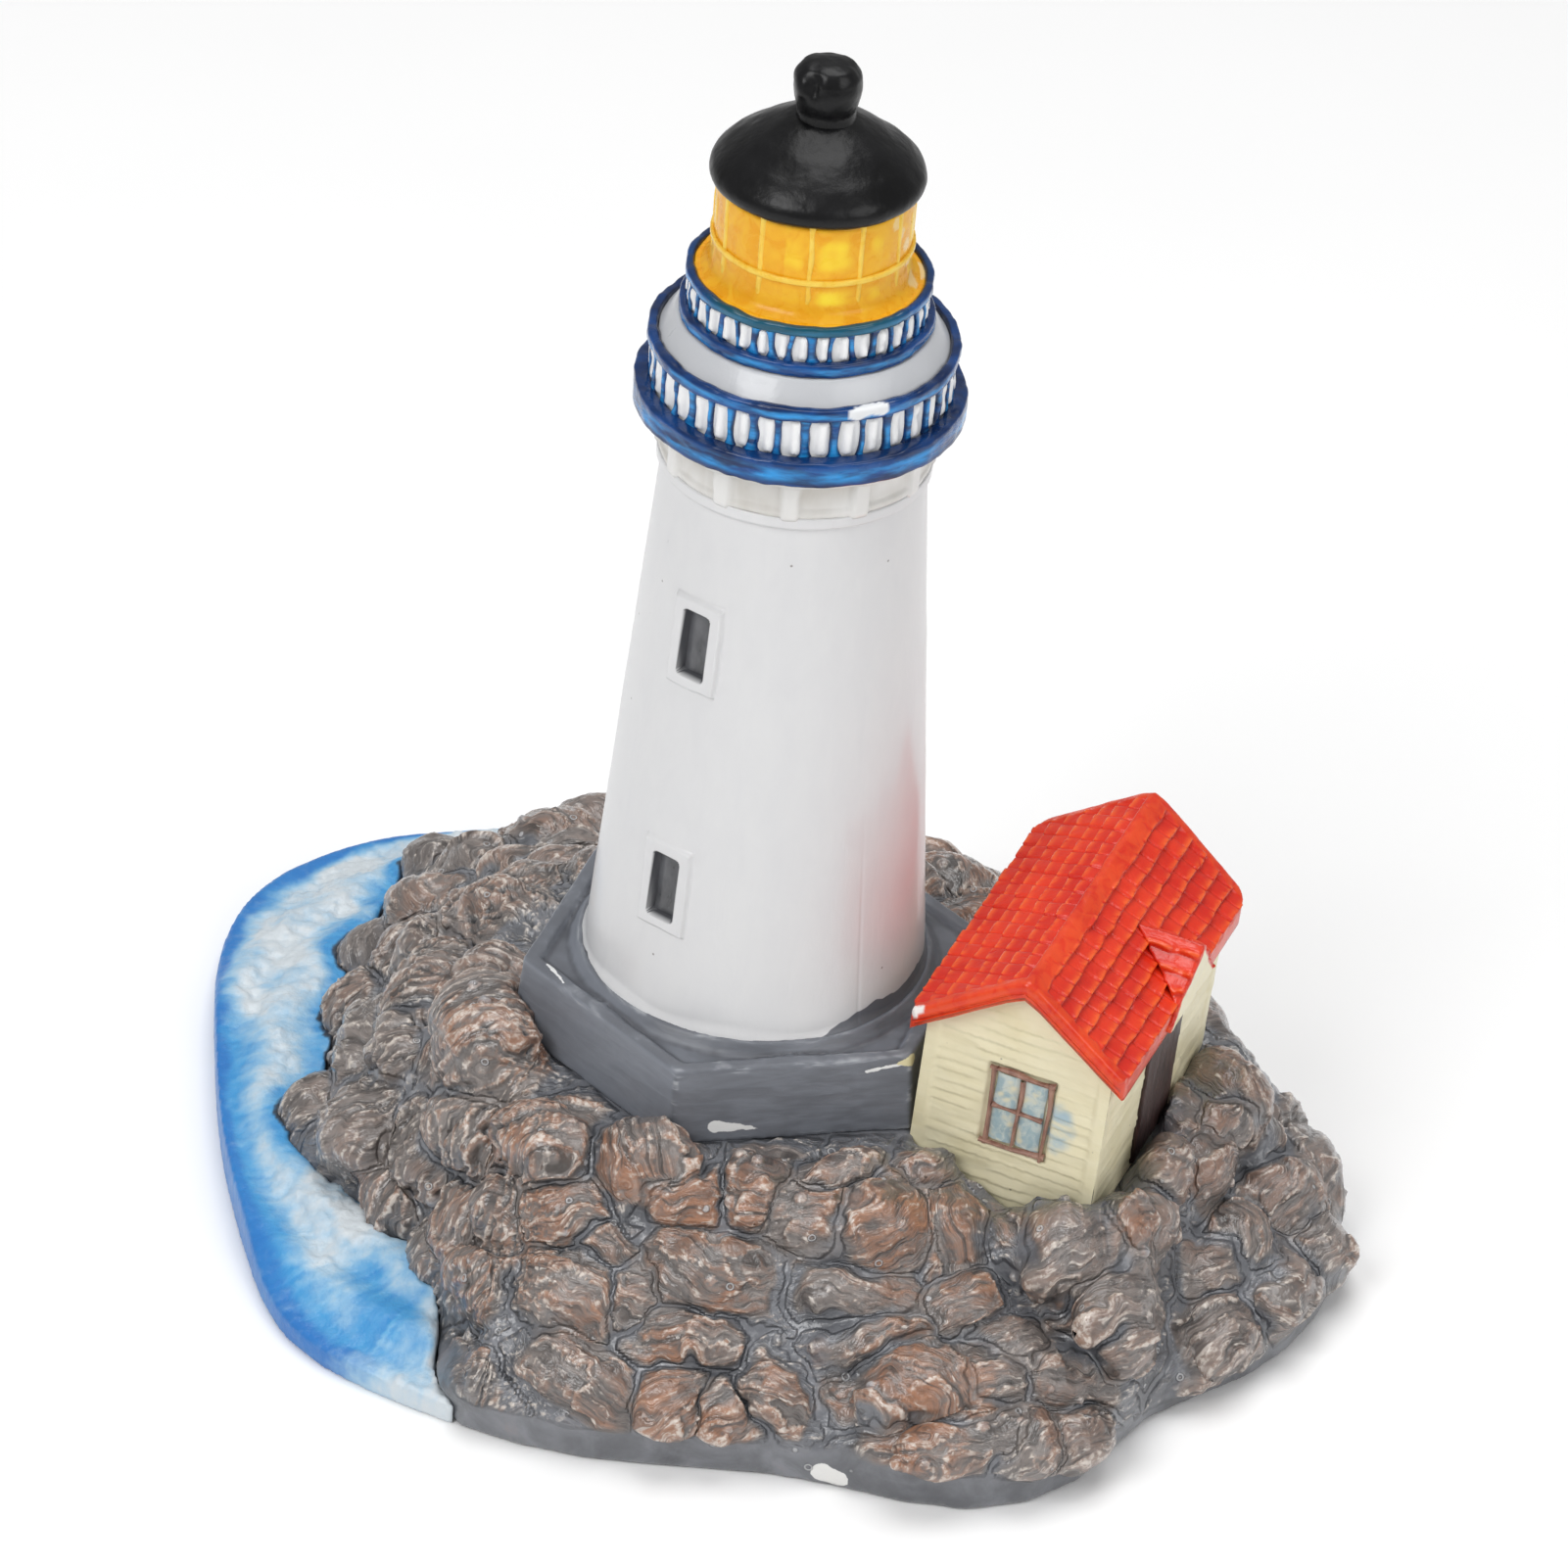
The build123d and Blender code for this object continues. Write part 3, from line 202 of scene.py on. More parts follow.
class Surface:
    def __init__(self, points, faces):
        self.points = np.asarray(points, float)
        self.faces = np.asarray(faces, np.int64)
        self.caps = []
        self.masks = {}

    def normals(self):
        p, f = self.points, self.faces
        n = np.cross(p[f[:, 2]] - p[f[:, 0]], p[f[:, -1]] - p[f[:, 1]])
        total = np.zeros_like(p)
        for k in range(4):
            for axis in range(3):
                total[:, axis] += np.bincount(f[:, k], n[:, axis], len(p))
        return total / np.maximum(np.linalg.norm(total, axis=1, keepdims=True), 1e-12)

    def sides(self):
        """The four sides of each face, as pairs of points."""
        return np.concatenate([self.faces[:, [k, (k + 1) % 4]] for k in range(4)])

    def relaxed(self, rounds):
        """The points, averaged with their neighbours."""
        e = np.unique(np.sort(self.sides(), axis=1), axis=0)
        n = len(self.points)
        v = self.points.copy()
        count = np.maximum(np.bincount(e[:, 0], minlength=n) + np.bincount(e[:, 1], minlength=n), 1)
        for _ in range(rounds):
            for axis in range(3):
                total = np.bincount(e[:, 0], v[e[:, 1], axis], n) + np.bincount(e[:, 1], v[e[:, 0], axis], n)
                v[:, axis] = 0.5 * v[:, axis] + 0.5 * total / count
        return v

    def push(self, height):
        self.points = self.points + self.normals() * np.asarray(height)[:, None]
        return self

    def hollow(self, rounds):
        """How far each point lies below its smoothed neighbourhood."""
        return np.sum((self.relaxed(rounds) - self.points) * self.normals(), axis=1)

    def flat_floor(self, height):
        """One face in place of all the faces that lie wholly below a height."""
        faces = self.faces[(self.points[self.faces][:, :, 2] > height).any(axis=1)]
        used, index = np.unique(faces, return_inverse=True)
        out = Surface(self.points[used], index.reshape(faces.shape))
        out.masks = {name: values[used] for name, values in self.masks.items()}
        both = set(map(tuple, out.sides().tolist()))
        follow = {b: a for a, b in both if (b, a) not in both}
        while follow:
            start, nxt = follow.popitem()
            loop = [start]
            while nxt in follow:
                loop.append(nxt)
                nxt = follow.pop(nxt)
            if len(loop) > 50:
                out.caps.append(loop)
        return out


def joined(surfaces):
    points, faces, start = [], [], 0
    for s in surfaces:
        points.append(s.points)
        faces.append(s.faces + start)
        start += len(s.points)
    out = Surface(np.concatenate(points), np.concatenate(faces))
    for name in surfaces[0].masks:
        out.masks[name] = np.concatenate([s.masks[name] for s in surfaces])
    return out


def remeshed(node):
    """The solid of a node as an even net of small quads, so that it can be weathered."""
    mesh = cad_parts[node].data.copy()
    net = bmesh.new()
    net.from_mesh(mesh)
    bmesh.ops.remove_doubles(net, verts=net.verts, dist=1e-6)
    net.to_mesh(mesh)
    net.free()
    copy = bpy.data.objects.new("net", mesh)
    bpy.context.scene.collection.objects.link(copy)
    change = copy.modifiers.new("net", "REMESH")
    change.mode = "VOXEL"
    change.voxel_size = NETS[node] * MM
    ready = bpy.data.meshes.new_from_object(copy.evaluated_get(bpy.context.evaluated_depsgraph_get()))
    points = np.zeros(len(ready.vertices) * 3, np.float32)
    ready.vertices.foreach_get("co", points)
    corners = np.zeros(len(ready.loops), np.int32)
    ready.loops.foreach_get("vertex_index", corners)
    bpy.data.objects.remove(copy)
    bpy.data.meshes.remove(mesh)
    bpy.data.meshes.remove(ready)
    return Surface(points.reshape(-1, 3) / MM, corners.reshape(-1, 4))


def grid(nu, nv, wrap=False):
    """Quads over nu rows of nv points, closed round the rows where wrap is set."""
    i, j = np.meshgrid(np.arange(nu if wrap else nu - 1), np.arange(nv - 1), indexing="ij")
    i, j = i.ravel(), j.ravel()
    k = (i + 1) % nu
    return columns(i * nv + j, k * nv + j, k * nv + j + 1, i * nv + j + 1)


def outline(corners, step, rounding, closed=False):
    """A line through the corners as close points, with its corners eased."""
    c = np.array(corners, float)
    if closed:
        c = np.vstack([c, c[:1]])
    line = []
    for a, b in zip(c[:-1], c[1:]):
        n = max(2, int(np.ceil(np.linalg.norm(b - a) / step)))
        line.append(a + (b - a) * np.arange(n)[:, None] / n)
    line = np.vstack(line + ([] if closed else [c[-1:]]))
    for _ in range(rounding):
        soft = 0.25 * np.roll(line, 1, 0) + 0.5 * line + 0.25 * np.roll(line, -1, 0)
        if not closed:
            soft[0], soft[-1] = line[0], line[-1]
        line = soft
    return line


def lathe(profile, around, closed=False):
    """A skin turned about the tower's axis from (radius, height) points, listed so that it faces out."""
    angle = np.linspace(0, 2 * math.pi, around, endpoint=False)
    line = np.vstack([profile, profile[:1]]) if closed else profile
    points = np.stack([np.outer(np.cos(angle), line[:, 0]), np.outer(np.sin(angle), line[:, 0]),
                       np.tile(line[:, 1], (around, 1))], axis=2)
    return Surface(points.reshape(-1, 3), grid(around, len(line), True))


def pillow(start, end, out, width, depth, seed, flare=0.0, wobble=0.08, across=9, along=13):
    """A brush-edged raised bar from start to end, standing off a surface that faces out."""
    start, end, out = (np.array(x, float) for x in (start, end, out))
    run = end - start
    side = np.cross(out, run / np.linalg.norm(run))
    t = np.linspace(0, 1, along)
    u = np.linspace(-1, 1, across)
    left, right = (1 + flare * (2 * t - 1) ** 4 + wobble * noise(columns(t * 2.6, seed, 0), k) * 2
                   for k in (5, 6))
    points = []
    for k, share in enumerate(t):
        half = np.where(u < 0, left[k], right[k]) * width / 2
        rise = depth * (1 - np.abs(u) ** 4) * (1 + 0.25 * noise(np.array([[share * 4, seed, 0.5]]), 8))
        drift = wobble * width * noise(np.array([[share * 1.7, seed, 9.5]]), 7)
        points.append(start + run * share + np.outer(u * half + drift, side) + np.outer(rise - 0.12, out))
    s = Surface(np.concatenate(points), grid(along, across))
    if np.dot(s.normals()[len(s.points) // 2], out) < 0:
        s.faces = s.faces[:, ::-1]
    s.masks["ridge"] = np.tile(1 - np.abs(u) ** 2, along)
    return s


def show(node, surface, paint):
    """Makes a painted piece of a surface, which stands for a node."""
    name = node + "_painted"
    mesh = bpy.data.meshes.new(name)
    mesh.from_pydata((surface.points * MM).tolist(), [], surface.faces.tolist() + surface.caps)
    for mask in paint.masks:
        surface.masks.setdefault(mask, np.zeros(len(surface.points)))
    for mask, values in surface.masks.items():
        layer = mesh.attributes.new(mask, "FLOAT", "POINT")
        layer.data.foreach_set("value", np.asarray(values, np.float32))
    mesh.polygons.foreach_set("use_smooth", np.arange(len(mesh.polygons)) < len(surface.faces))
    mesh.materials.append(paint.material)
    piece = bpy.data.objects.new(name, mesh)
    bpy.context.scene.collection.objects.link(piece)
    net = bmesh.new()
    net.from_mesh(mesh)
    bmesh.ops.remove_doubles(net, verts=net.verts, dist=2e-6)
    net.to_mesh(mesh)
    net.free()
    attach(piece, "root")
    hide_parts(node)


# Paints

def rgb(colour):
    """A screen colour, as six hex digits, in linear light."""
    if not isinstance(colour, str):
        return colour
    parts = [int(colour[k:k + 2], 16) / 255 for k in (0, 2, 4)]
    return tuple(c / 12.92 if c <= 0.04045 else ((c + 0.055) / 1.055) ** 2.4 for c in parts) + (1.0,)


class Paint:
    """A node material. Most calls add a node and give back its output. A word as an input is a mask."""

    def __init__(self, name, **sockets):
        self.material = bpy.data.materials.new(name)
        self.material.use_nodes = True
        self.masks = []
        self.tree = self.material.node_tree
        self.shader = self.tree.nodes["Principled BSDF"]
        for socket, value in sockets.items():
            self.shader.inputs[socket.replace("_", " ")].default_value = value
        self.mm = self.vector("SCALE", self.add("ShaderNodeTexCoord").outputs["Object"], 1 / MM)

    def add(self, kind, inputs=None, **settings):
        node = self.tree.nodes.new(kind)
        for key, value in settings.items():
            setattr(node, key, value)
        for key, value in (inputs or {}).items():
            if isinstance(value, str):
                value = self.mask(value)
            if isinstance(value, bpy.types.NodeSocket):
                self.tree.links.new(value, node.inputs[key])
            else:
                node.inputs[key].default_value = value
        return node

    def mask(self, name):
        self.masks.append(name)
        return self.add("ShaderNodeAttribute", attribute_name=name).outputs["Fac"]

    def vector(self, operation, a, b):
        second = 3 if operation == "SCALE" else 1
        node = self.add("ShaderNodeVectorMath", {0: a, second: b}, operation=operation)
        return node.outputs["Value" if operation in ("DOT_PRODUCT", "DISTANCE") else "Vector"]

    def noise(self, size, detail=3.0, stretch=(1, 1, 1), twist=0.0, rough=0.55, place=None):
        """Noise from 0 to 1 with features of a size in millimetres."""
        place = self.vector("MULTIPLY", place or self.mm, tuple(s / size for s in stretch))
        return self.add("ShaderNodeTexNoise", {"Vector": place, "Scale": 1.0, "Detail": detail,
                                               "Roughness": rough, "Distortion": twist}).outputs["Fac"]

    def spots(self, size, lo, hi):
        """Scattered dots: 1 in the middle of a dot."""
        place = self.vector("SCALE", self.mm, 1 / size)
        d = self.add("ShaderNodeTexVoronoi", {"Vector": place, "Scale": 1.0}).outputs["Distance"]
        return self.span(d, hi, lo)

    def span(self, value, lo, hi, to_lo=0.0, to_hi=1.0):
        return self.add("ShaderNodeMapRange", {0: value, 1: lo, 2: hi, 3: to_lo, 4: to_hi},
                        interpolation_type="SMOOTHSTEP").outputs[0]

    def maths(self, operation, a, b):
        return self.add("ShaderNodeMath", {0: a, 1: b}, operation=operation).outputs[0]

    def times(self, a, b):
        return self.maths("MULTIPLY", a, b)

    def plus(self, a, b):
        return self.maths("ADD", a, b)

    def minus(self, a, b):
        return self.maths("SUBTRACT", a, b)

    def swing(self, value, size):
        """A value from 0 to 1 as one about 0, of a size."""
        return self.times(self.minus(value, 0.5), size)

    def mixed(self, share, a, b):
        return self.add("ShaderNodeMix", {0: share, 6: rgb(a), 7: rgb(b)}, data_type="RGBA").outputs[2]

    def chips(self, colour, tint, *marks):
        """Patches of another colour, each from a start to an end with a half width at both."""
        wobble = self.swing(self.noise(0.9, 3), 0.5)
        for start, end, first, last in marks:
            run = Vector(end) - Vector(start)
            away = self.vector("SUBTRACT", self.mm, start)
            share = self.vector("DOT_PRODUCT", away, tuple(run / run.length_squared))
            share = self.add("ShaderNodeClamp", {0: share}).outputs[0]
            off = self.vector("DISTANCE", away, self.vector("SCALE", tuple(run), share))
            width = self.plus(self.times(share, last - first), first)
            inside = self.minus(self.plus(width, wobble), off)
            colour = self.mixed(self.span(inside, -0.04, 0.06), colour, tint)
        return colour

    def into(self, value, *sockets):
        for socket in sockets:
            self.tree.links.new(value, self.shader.inputs[socket])
        return self

    def colour(self, value):
        return self.into(value, "Base Color")

    def gloss(self, value, lo, hi):
        return self.into(self.span(value, 0, 1, lo, hi), "Roughness")

    def bump(self, height, depth):
        """Relief of a depth in millimetres."""
        node = self.add("ShaderNodeBump", {"Height": height, "Strength": 1.0, "Distance": depth * MM})
        return self.into(node.outputs[0], "Normal", "Coat Normal")


def rock_paint():
    p = Paint("rock_paint", Coat_Weight=0.8, Coat_Roughness=0.07)
    stone = p.add("ShaderNodeCombineXYZ", {0: "along", 1: "across", 2: "own"}).outputs[0]
    stroke = p.noise(1.2, 4, stretch=(0.2, 1, 4), rough=0.6, place=stone)
    hair = p.noise(0.45, 3, stretch=(0.14, 1, 4), place=stone)
    patch = p.noise(5, 4, twist=0.4)
    grain = p.noise(0.6, 3)
    grey = p.mixed(p.span(patch, 0.3, 0.7), "55575c", "7c7e84")
    wash = p.mixed(p.span(stroke, 0.3, 0.7), "575250", "8b827d")
    brown = p.mixed(p.span(hair, 0.25, 0.75), "70503f", "a87759")
    colour = p.mixed(p.span("high", 0.1, 0.6), grey, wash)
    brushed = p.plus("ridge", p.swing(patch, 0.9))
    brushed = p.plus(brushed, p.swing(stroke, 0.6))
    dry = p.times(p.span(brushed, 0.15, 0.75), p.span(hair, 0.15, 0.5, 0.5, 1.0))
    colour = p.mixed(p.times(dry, "warm"), colour, brown)
    stony = p.span("plain", 0.6, 0.0)
    pitting = p.noise(0.42, 2, stretch=(0.4, 1, 4), place=stone)
    # Painted shade: dark lines in the fine grooves, and dark specks in the fine pits
    painted_groove_shade = p.times(p.span(hair, 0.46, 0.3), p.times(stony, 0.65))
    colour = p.mixed(painted_groove_shade, colour, "302b28")
    colour = p.mixed(p.times(p.span(pitting, 0.42, 0.28), p.times(stony, 0.5)), colour, "2a2726")
    # Painted glints on the highs of the fine relief near the edges, then pale edges that are partly dry-brush
    # and partly painted highlight
    glint = p.times(p.span(pitting, 0.57, 0.72), p.times(stony, p.span("edge", 0.0, 0.4, 0.12, 0.8)))
    colour = p.mixed(glint, colour, "dbd2c9")
    edge = p.times(p.span("edge", 0.2, 0.8), p.span(hair, 0.35, 0.6))
    edge = p.times(edge, p.span(grain, 0.42, 0.6, 0.15, 0.85))
    colour = p.mixed(edge, colour, "dad0c6")
    # Painted shade, near-black, in the hollows
    colour = p.mixed(p.span("deep", 0.1, 1.0), colour, "27272a")
    colour = p.mixed(p.mask("bubble"), colour, "a3a4a8")
    lip = p.minus(p.spots(4.6, 0.085, 0.11), p.spots(4.6, 0.045, 0.065))
    colour = p.mixed(p.times(lip, 0.7), colour, "c3c3c5")
    colour = p.chips(colour, "e4e3e0", ((11.2, -45.7, 1.8), (12.8, -46.0, 1.4), 1.2, 1.0))
    relief = p.plus(stroke, p.times(p.plus(hair, pitting), 0.4))
    relief = p.times(relief, p.span("plain", 0.8, 0.0))
    relief = p.plus(relief, p.plus(p.times(grain, 0.2), p.times(patch, 0.8)))
    relief = p.plus(relief, p.times(lip, 0.5))
    return p.colour(colour).gloss(stroke, 0.28, 0.5).bump(relief, 0.42)


def sea_paint():
    p = Paint("sea_paint", Coat_Weight=0.2, Coat_Roughness=0.25)
    streak = p.mask("streak")
    clump = p.noise(1.3, 4)
    cloud = p.noise(6, 3)
    blue = p.mixed(streak, "2e86c9", "54aadd")
    deep = p.mixed(cloud, "206bba", "3085cb")
    lined = p.plus("rim", p.swing(streak, 0.5))
    blue = p.mixed(p.span(lined, 0.15, 0.85), blue, deep)
    foam = p.plus("foam", p.swing(clump, 0.5))
    foam = p.plus(foam, p.swing(streak, 0.2))
    colour = p.mixed(p.span(foam, 0.0, 0.65), blue, "9ac2dd")
    colour = p.mixed(p.span(foam, 0.4, 1.0), colour, "d0d8dd")
    colour = p.mixed(p.span("shade", 0.3, 1.0), colour, "2c3642")
    return p.colour(colour).gloss(clump, 0.3, 0.55).bump(clump, 0.24)


def plinth_paint():
    p = Paint("plinth_paint", Coat_Weight=0.15, Coat_Roughness=0.3)
    brush = p.noise(1.2, 3, stretch=(0.25, 0.25, 1.2), twist=0.4)
    patch = p.noise(7, 3)
    colour = p.mixed(p.span(brush, 0.3, 0.7), "666970", "757981")
    colour = p.mixed(p.times(p.span(patch, 0.45, 0.75), 0.5), colour, "5c5f66")
    # Painted light on the walls that face left, a painted highlight on the edges, and painted shade in the
    # hollows
    colour = p.mixed(p.mask("left"), colour, "8d929c")
    colour = p.mixed(p.times(p.span("edge", 0.4, 1.0), p.span(brush, 0.5, 0.7)), colour, "a3a6ab")
    colour = p.mixed(p.times(p.span("deep", 0.3, 1.0), 0.7), colour, "44464c")
    colour = p.chips(colour, "e9e9e8", ((-20.6, -6.7, 32.7), (-18.9, -9.6, 32.7), 0.3, 0.1),
                     ((-2.4, -22.6, 26.0), (2.4, -21.6, 25.4), 0.7, 0.05),
                     ((12.3, -18.5, 31.3), (16.2, -17.5, 32.0), 0.12, 0.28))
    colour = p.chips(colour, "ddd3a6", ((15.0, -17.8, 31.9), (18.6, -16.6, 32.4), 0.05, 1.3))
    return p.colour(colour).gloss(brush, 0.36, 0.5).bump(brush, 0.06)


def white_paint(name, low, high, wash, streaky=False):
    """White, with another colour where the mask called tint lies."""
    p = Paint(name, Coat_Weight=0.3, Coat_Roughness=0.12)
    brush = p.noise(2.5, 4, stretch=(1, 1, 0.35), twist=0.5)
    grain = p.noise(0.5, 2)
    colour = p.mixed(brush, low, high)
    colour = p.mixed(p.times(p.spots(5.2, 0.012, 0.035), 0.8), colour, "77716a")
    colour = p.mixed(p.mask("tint"), colour, p.mixed(brush, wash, low) if streaky else wash)
    return p.colour(colour).gloss(brush, 0.25, 0.4).bump(p.plus(brush, p.times(grain, 0.2)), 0.06)


def tower_paint():
    """White that ends at the foot in a wavy line, above the grey of the plinth."""
    p = white_paint("tower_white_paint", "d6d6d8", "dfdfdf", "4b4c50")
    white = p.shader.inputs["Base Color"].links[0].from_socket
    wave = p.swing(p.noise(3.5, 2, stretch=(1, 1, 0)), 1.6)
    height = p.add("ShaderNodeSeparateXYZ", {0: p.mm}).outputs["Z"]
    over = p.minus(p.minus(height, "foot"), wave)
    return p.colour(p.mixed(p.span(over, 0.06, -0.06), white, "666970"))


def blue_paint():
    p = Paint("blue_paint", Coat_Weight=0.35, Coat_Roughness=0.08, Specular_IOR_Level=0.3)
    brush = p.noise(2.0, 3, stretch=(0.4, 0.4, 1.5), twist=0.4)
    patch = p.noise(1.6, 3, stretch=(0.3, 0.3, 1.4))
    colour = p.mixed(p.span(brush, 0.3, 0.7), "06234f", "0a4a90")
    # Painted highlight along the middle of the rails' outer faces and down the balusters; painted shade on
    # the inner faces, tops, bottoms and baluster sides
    colour = p.mixed(p.times(p.span("ridge", 0.2, 1.0), p.span(patch, 0.35, 0.65)), colour, "2a96dd")
    colour = p.mixed(p.span("deep", 0.1, 1.0), colour, "051839")
    colour = p.mixed(p.mask("teal"), colour, "0d5560")
    colour = p.mixed(p.mask("chip"), colour, "e8eaec")
    return p.colour(colour).gloss(brush, 0.16, 0.34).bump(brush, 0.14)


def amber_paint(name, dark, light, centre):
    p = Paint(name, Coat_Weight=0.12, Coat_Roughness=0.12, Specular_IOR_Level=0.25)
    brush = p.noise(1.8, 4, twist=0.8)
    colour = p.mixed(p.span(brush, 0.3, 0.7), dark, light)
    # Paler paint in the middle of the panes, with a painted highlight on the panes that face the camera
    colour = p.mixed(p.span("glow", 0.1, 0.95), colour, centre)
    speck = p.times(p.spots(1.9, 0.02, 0.07), "flat")
    colour = p.mixed(p.times(speck, 0.8), colour, "7a3d0c")
    colour = p.mixed(p.times("chip", 0.7), colour, "f3e2b0")
    return p.colour(colour).gloss(brush, 0.2, 0.38).bump(brush, 0.06)


def black_paint():
    p = Paint("black_paint", Specular_IOR_Level=0.3)
    grain = p.noise(0.8, 4)
    patch = p.noise(5, 3, twist=0.5)
    colour = p.mixed(p.span(patch, 0.3, 0.75), "060607", "0f0f11")
    colour = p.chips(colour, "3a3a3c", ((4.3, -7.8, 124.8), (3.1, -4.7, 127.2), 0.05, 0.05))
    return p.colour(colour).gloss(patch, 0.26, 0.38).bump(p.plus(patch, p.times(grain, 0.35)), 0.12)


def cream_paint():
    p = Paint("cream_paint", Coat_Weight=0.1, Coat_Roughness=0.3)
    brush = p.noise(1.6, 4, stretch=(0.4, 0.4, 1.2), twist=0.6)
    patch = p.noise(6, 3)
    colour = p.mixed(brush, "e6dcb4", "f2ebcd")
    colour = p.mixed(p.times(p.span(patch, 0.5, 0.8), 0.5), colour, "ddd0a0")
    # Painted shade under the board laps
    colour = p.mixed(p.times(p.span("deep", 0.25, 1.0), 0.55), colour, "b3a781")
    colour = p.mixed(p.times("slop", p.span(brush, 0.25, 0.6)), colour, "a9c0c9")
    colour = p.mixed(p.times(p.spots(3.1, 0.02, 0.06), 0.7), colour, "6b6350")
    return p.colour(colour).gloss(brush, 0.35, 0.5).bump(brush, 0.08)


def red_paint():
    p = Paint("red_paint", Coat_Weight=0.2, Coat_Roughness=0.15, Specular_IOR_Level=0.4)
    brush = p.noise(1.5, 4, twist=0.8)
    patch = p.noise(5, 3)
    colour = p.mixed(p.span(patch, 0.3, 0.7), "cb210e", "e03718")
    # Painted highlight on the tiles' lower edges, painted shade in the seams and underneath
    colour = p.mixed(p.times(p.span("ridge", 0.2, 0.9), p.span(brush, 0.3, 0.6)), colour, "f46a2a")
    colour = p.mixed(p.times(p.span("deep", 0.15, 1.0), 0.5), colour, "9c160b")
    colour = p.mixed(p.mask("chip"), colour, "f2ece8")
    colour = p.mixed(p.mask("gable"), colour, "eae0ba")
    return p.colour(colour).gloss(brush, 0.24, 0.4).bump(brush, 0.1)


def brown_paint(name, dark, light):
    p = Paint(name, Coat_Weight=0.15, Coat_Roughness=0.3)
    brush = p.noise(0.9, 4, stretch=(1, 1, 0.35), twist=0.5)
    colour = p.mixed(p.span(brush, 0.25, 0.75), dark, light)
    return p.colour(colour).gloss(brush, 0.35, 0.55).bump(brush, 0.1)


def glass_paint():
    p = Paint("glass_paint", Coat_Weight=0.3, Coat_Roughness=0.15)
    brush = p.noise(1.4, 4, twist=1.0)
    colour = p.mixed(p.span(brush, 0.38, 0.62), "9db6bd", "c8d2cc")
    colour = p.mixed(p.span(p.noise(2.3, 2), 0.55, 0.7), colour, "dcd8bd")
    return p.colour(colour).gloss(brush, 0.3, 0.45).bump(brush, 0.07)


def pane_paint():
    p = Paint("pane_paint", Coat_Weight=0.4, Coat_Roughness=0.12)
    brush = p.noise(1.6, 3, stretch=(1, 1, 0.5))
    colour = p.mixed(p.span(brush, 0.3, 0.7), "3d3e41", "5d5e62")
    return p.colour(colour).gloss(brush, 0.22, 0.4).bump(brush, 0.06)


def blots(p, spots):
    """Patches of bare resin: 1 inside each (x, y, z, radius) with a ragged edge."""
    total = np.zeros(len(p))
    for x, y, z, radius in spots:
        d = np.linalg.norm(p - (x, y, z), axis=1) + 0.35 * radius * fbm(p / (0.6 * radius), 2, 3)
        total = np.maximum(total, smoothstep(radius * 1.12, radius * 0.88, d))
    return total


# Rock base

def plinth_distance(p):
    """How far a point lies outside the six walls of the plinth, seen from above."""
    angles = PLINTH_TURN + math.pi / 6 + np.arange(6) * math.pi / 3
    return np.max(np.outer(p[:, 0], np.cos(angles)) + np.outer(p[:, 1], np.sin(angles)), axis=1) - PLINTH_HALF


def cottage_local(p):
    back = np.array(COTTAGE.inverted())
    return p @ back[:3, :3].T + back[:3, 3]


def cottage_distance(p):
    """How far a point lies outside the walls of the cottage, seen from above."""
    x, y, _ = cottage_local(p).T
    middle = COTTAGE_LENGTH / 2
    return np.maximum(np.abs(x) - COTTAGE_HALF, np.abs(y - middle) - middle)


def stone_places(p, facing, chance):
    """Each point's stone, its place on that, and its reach on that stone and on the next one."""
    bent = p + columns(*(1.0 * fbm(p / 4.5, 2, k) + 0.5 * noise(p / 1.4, k + 3) for k in (11, 12, 13)))
    edge = np.full(len(p), 9.0)
    beyond = edge.copy()
    along, across, own = np.zeros((3, len(p)))
    for k, stone in enumerate(STONES):
        length, width = stone[3:]
        d = bent - stone[:3]
        out = facing[np.argmin(np.sum(d * d, axis=1))]
        level = np.cross((0, 0, 1), out)
        level = level / np.linalg.norm(level)
        climb = np.cross(out, level)
        turn = 0.4 * chance[k]
        a = d @ (level * math.cos(turn) + climb * math.sin(turn))
        u = d @ (climb * math.cos(turn) - level * math.sin(turn))
        reach = (np.abs(a / (0.55 * length)) ** 5 + np.abs(u / (0.55 * width)) ** 5
                 + np.abs(d @ out / 6) ** 5) ** 0.2
        near = reach < edge
        beyond = np.where(near, edge, np.minimum(beyond, reach))
        upright = stone[0] < -22 and stone[1] < 22
        along = np.where(near, u if upright else a, along)
        across = np.where(near, a if upright else u, across)
        own = np.where(near, k, own)
        edge = np.where(near, reach, edge)
    return own, along, across, edge, beyond


def bubbles(p):
    """Round bubbles in the varnish: how high they stand and how pale they are."""
    pale = np.zeros(len(p))
    rise = np.zeros(len(p))
    order = np.argsort(hashed(np.arange(len(p))[:, None] * np.array([1, 3, 7]), 5))
    chosen = [k for k in order[:700] if 5 < p[k, 2] and plinth_distance(p[k:k + 1])[0] > 1.5][:100]
    for n, k in enumerate(chosen):
        radius = 0.4 + 0.35 * (n % 5) / 4
        d = np.linalg.norm(p - p[k], axis=1)
        near = d < radius
        rise[near] = np.maximum(rise[near], 0.8 * np.sqrt(radius ** 2 - d[near] ** 2))
        pale[near] = smoothstep(radius, radius * 0.5, d[near]) * (1.0 if n % 3 == 0 else 0.45)
    return rise, pale


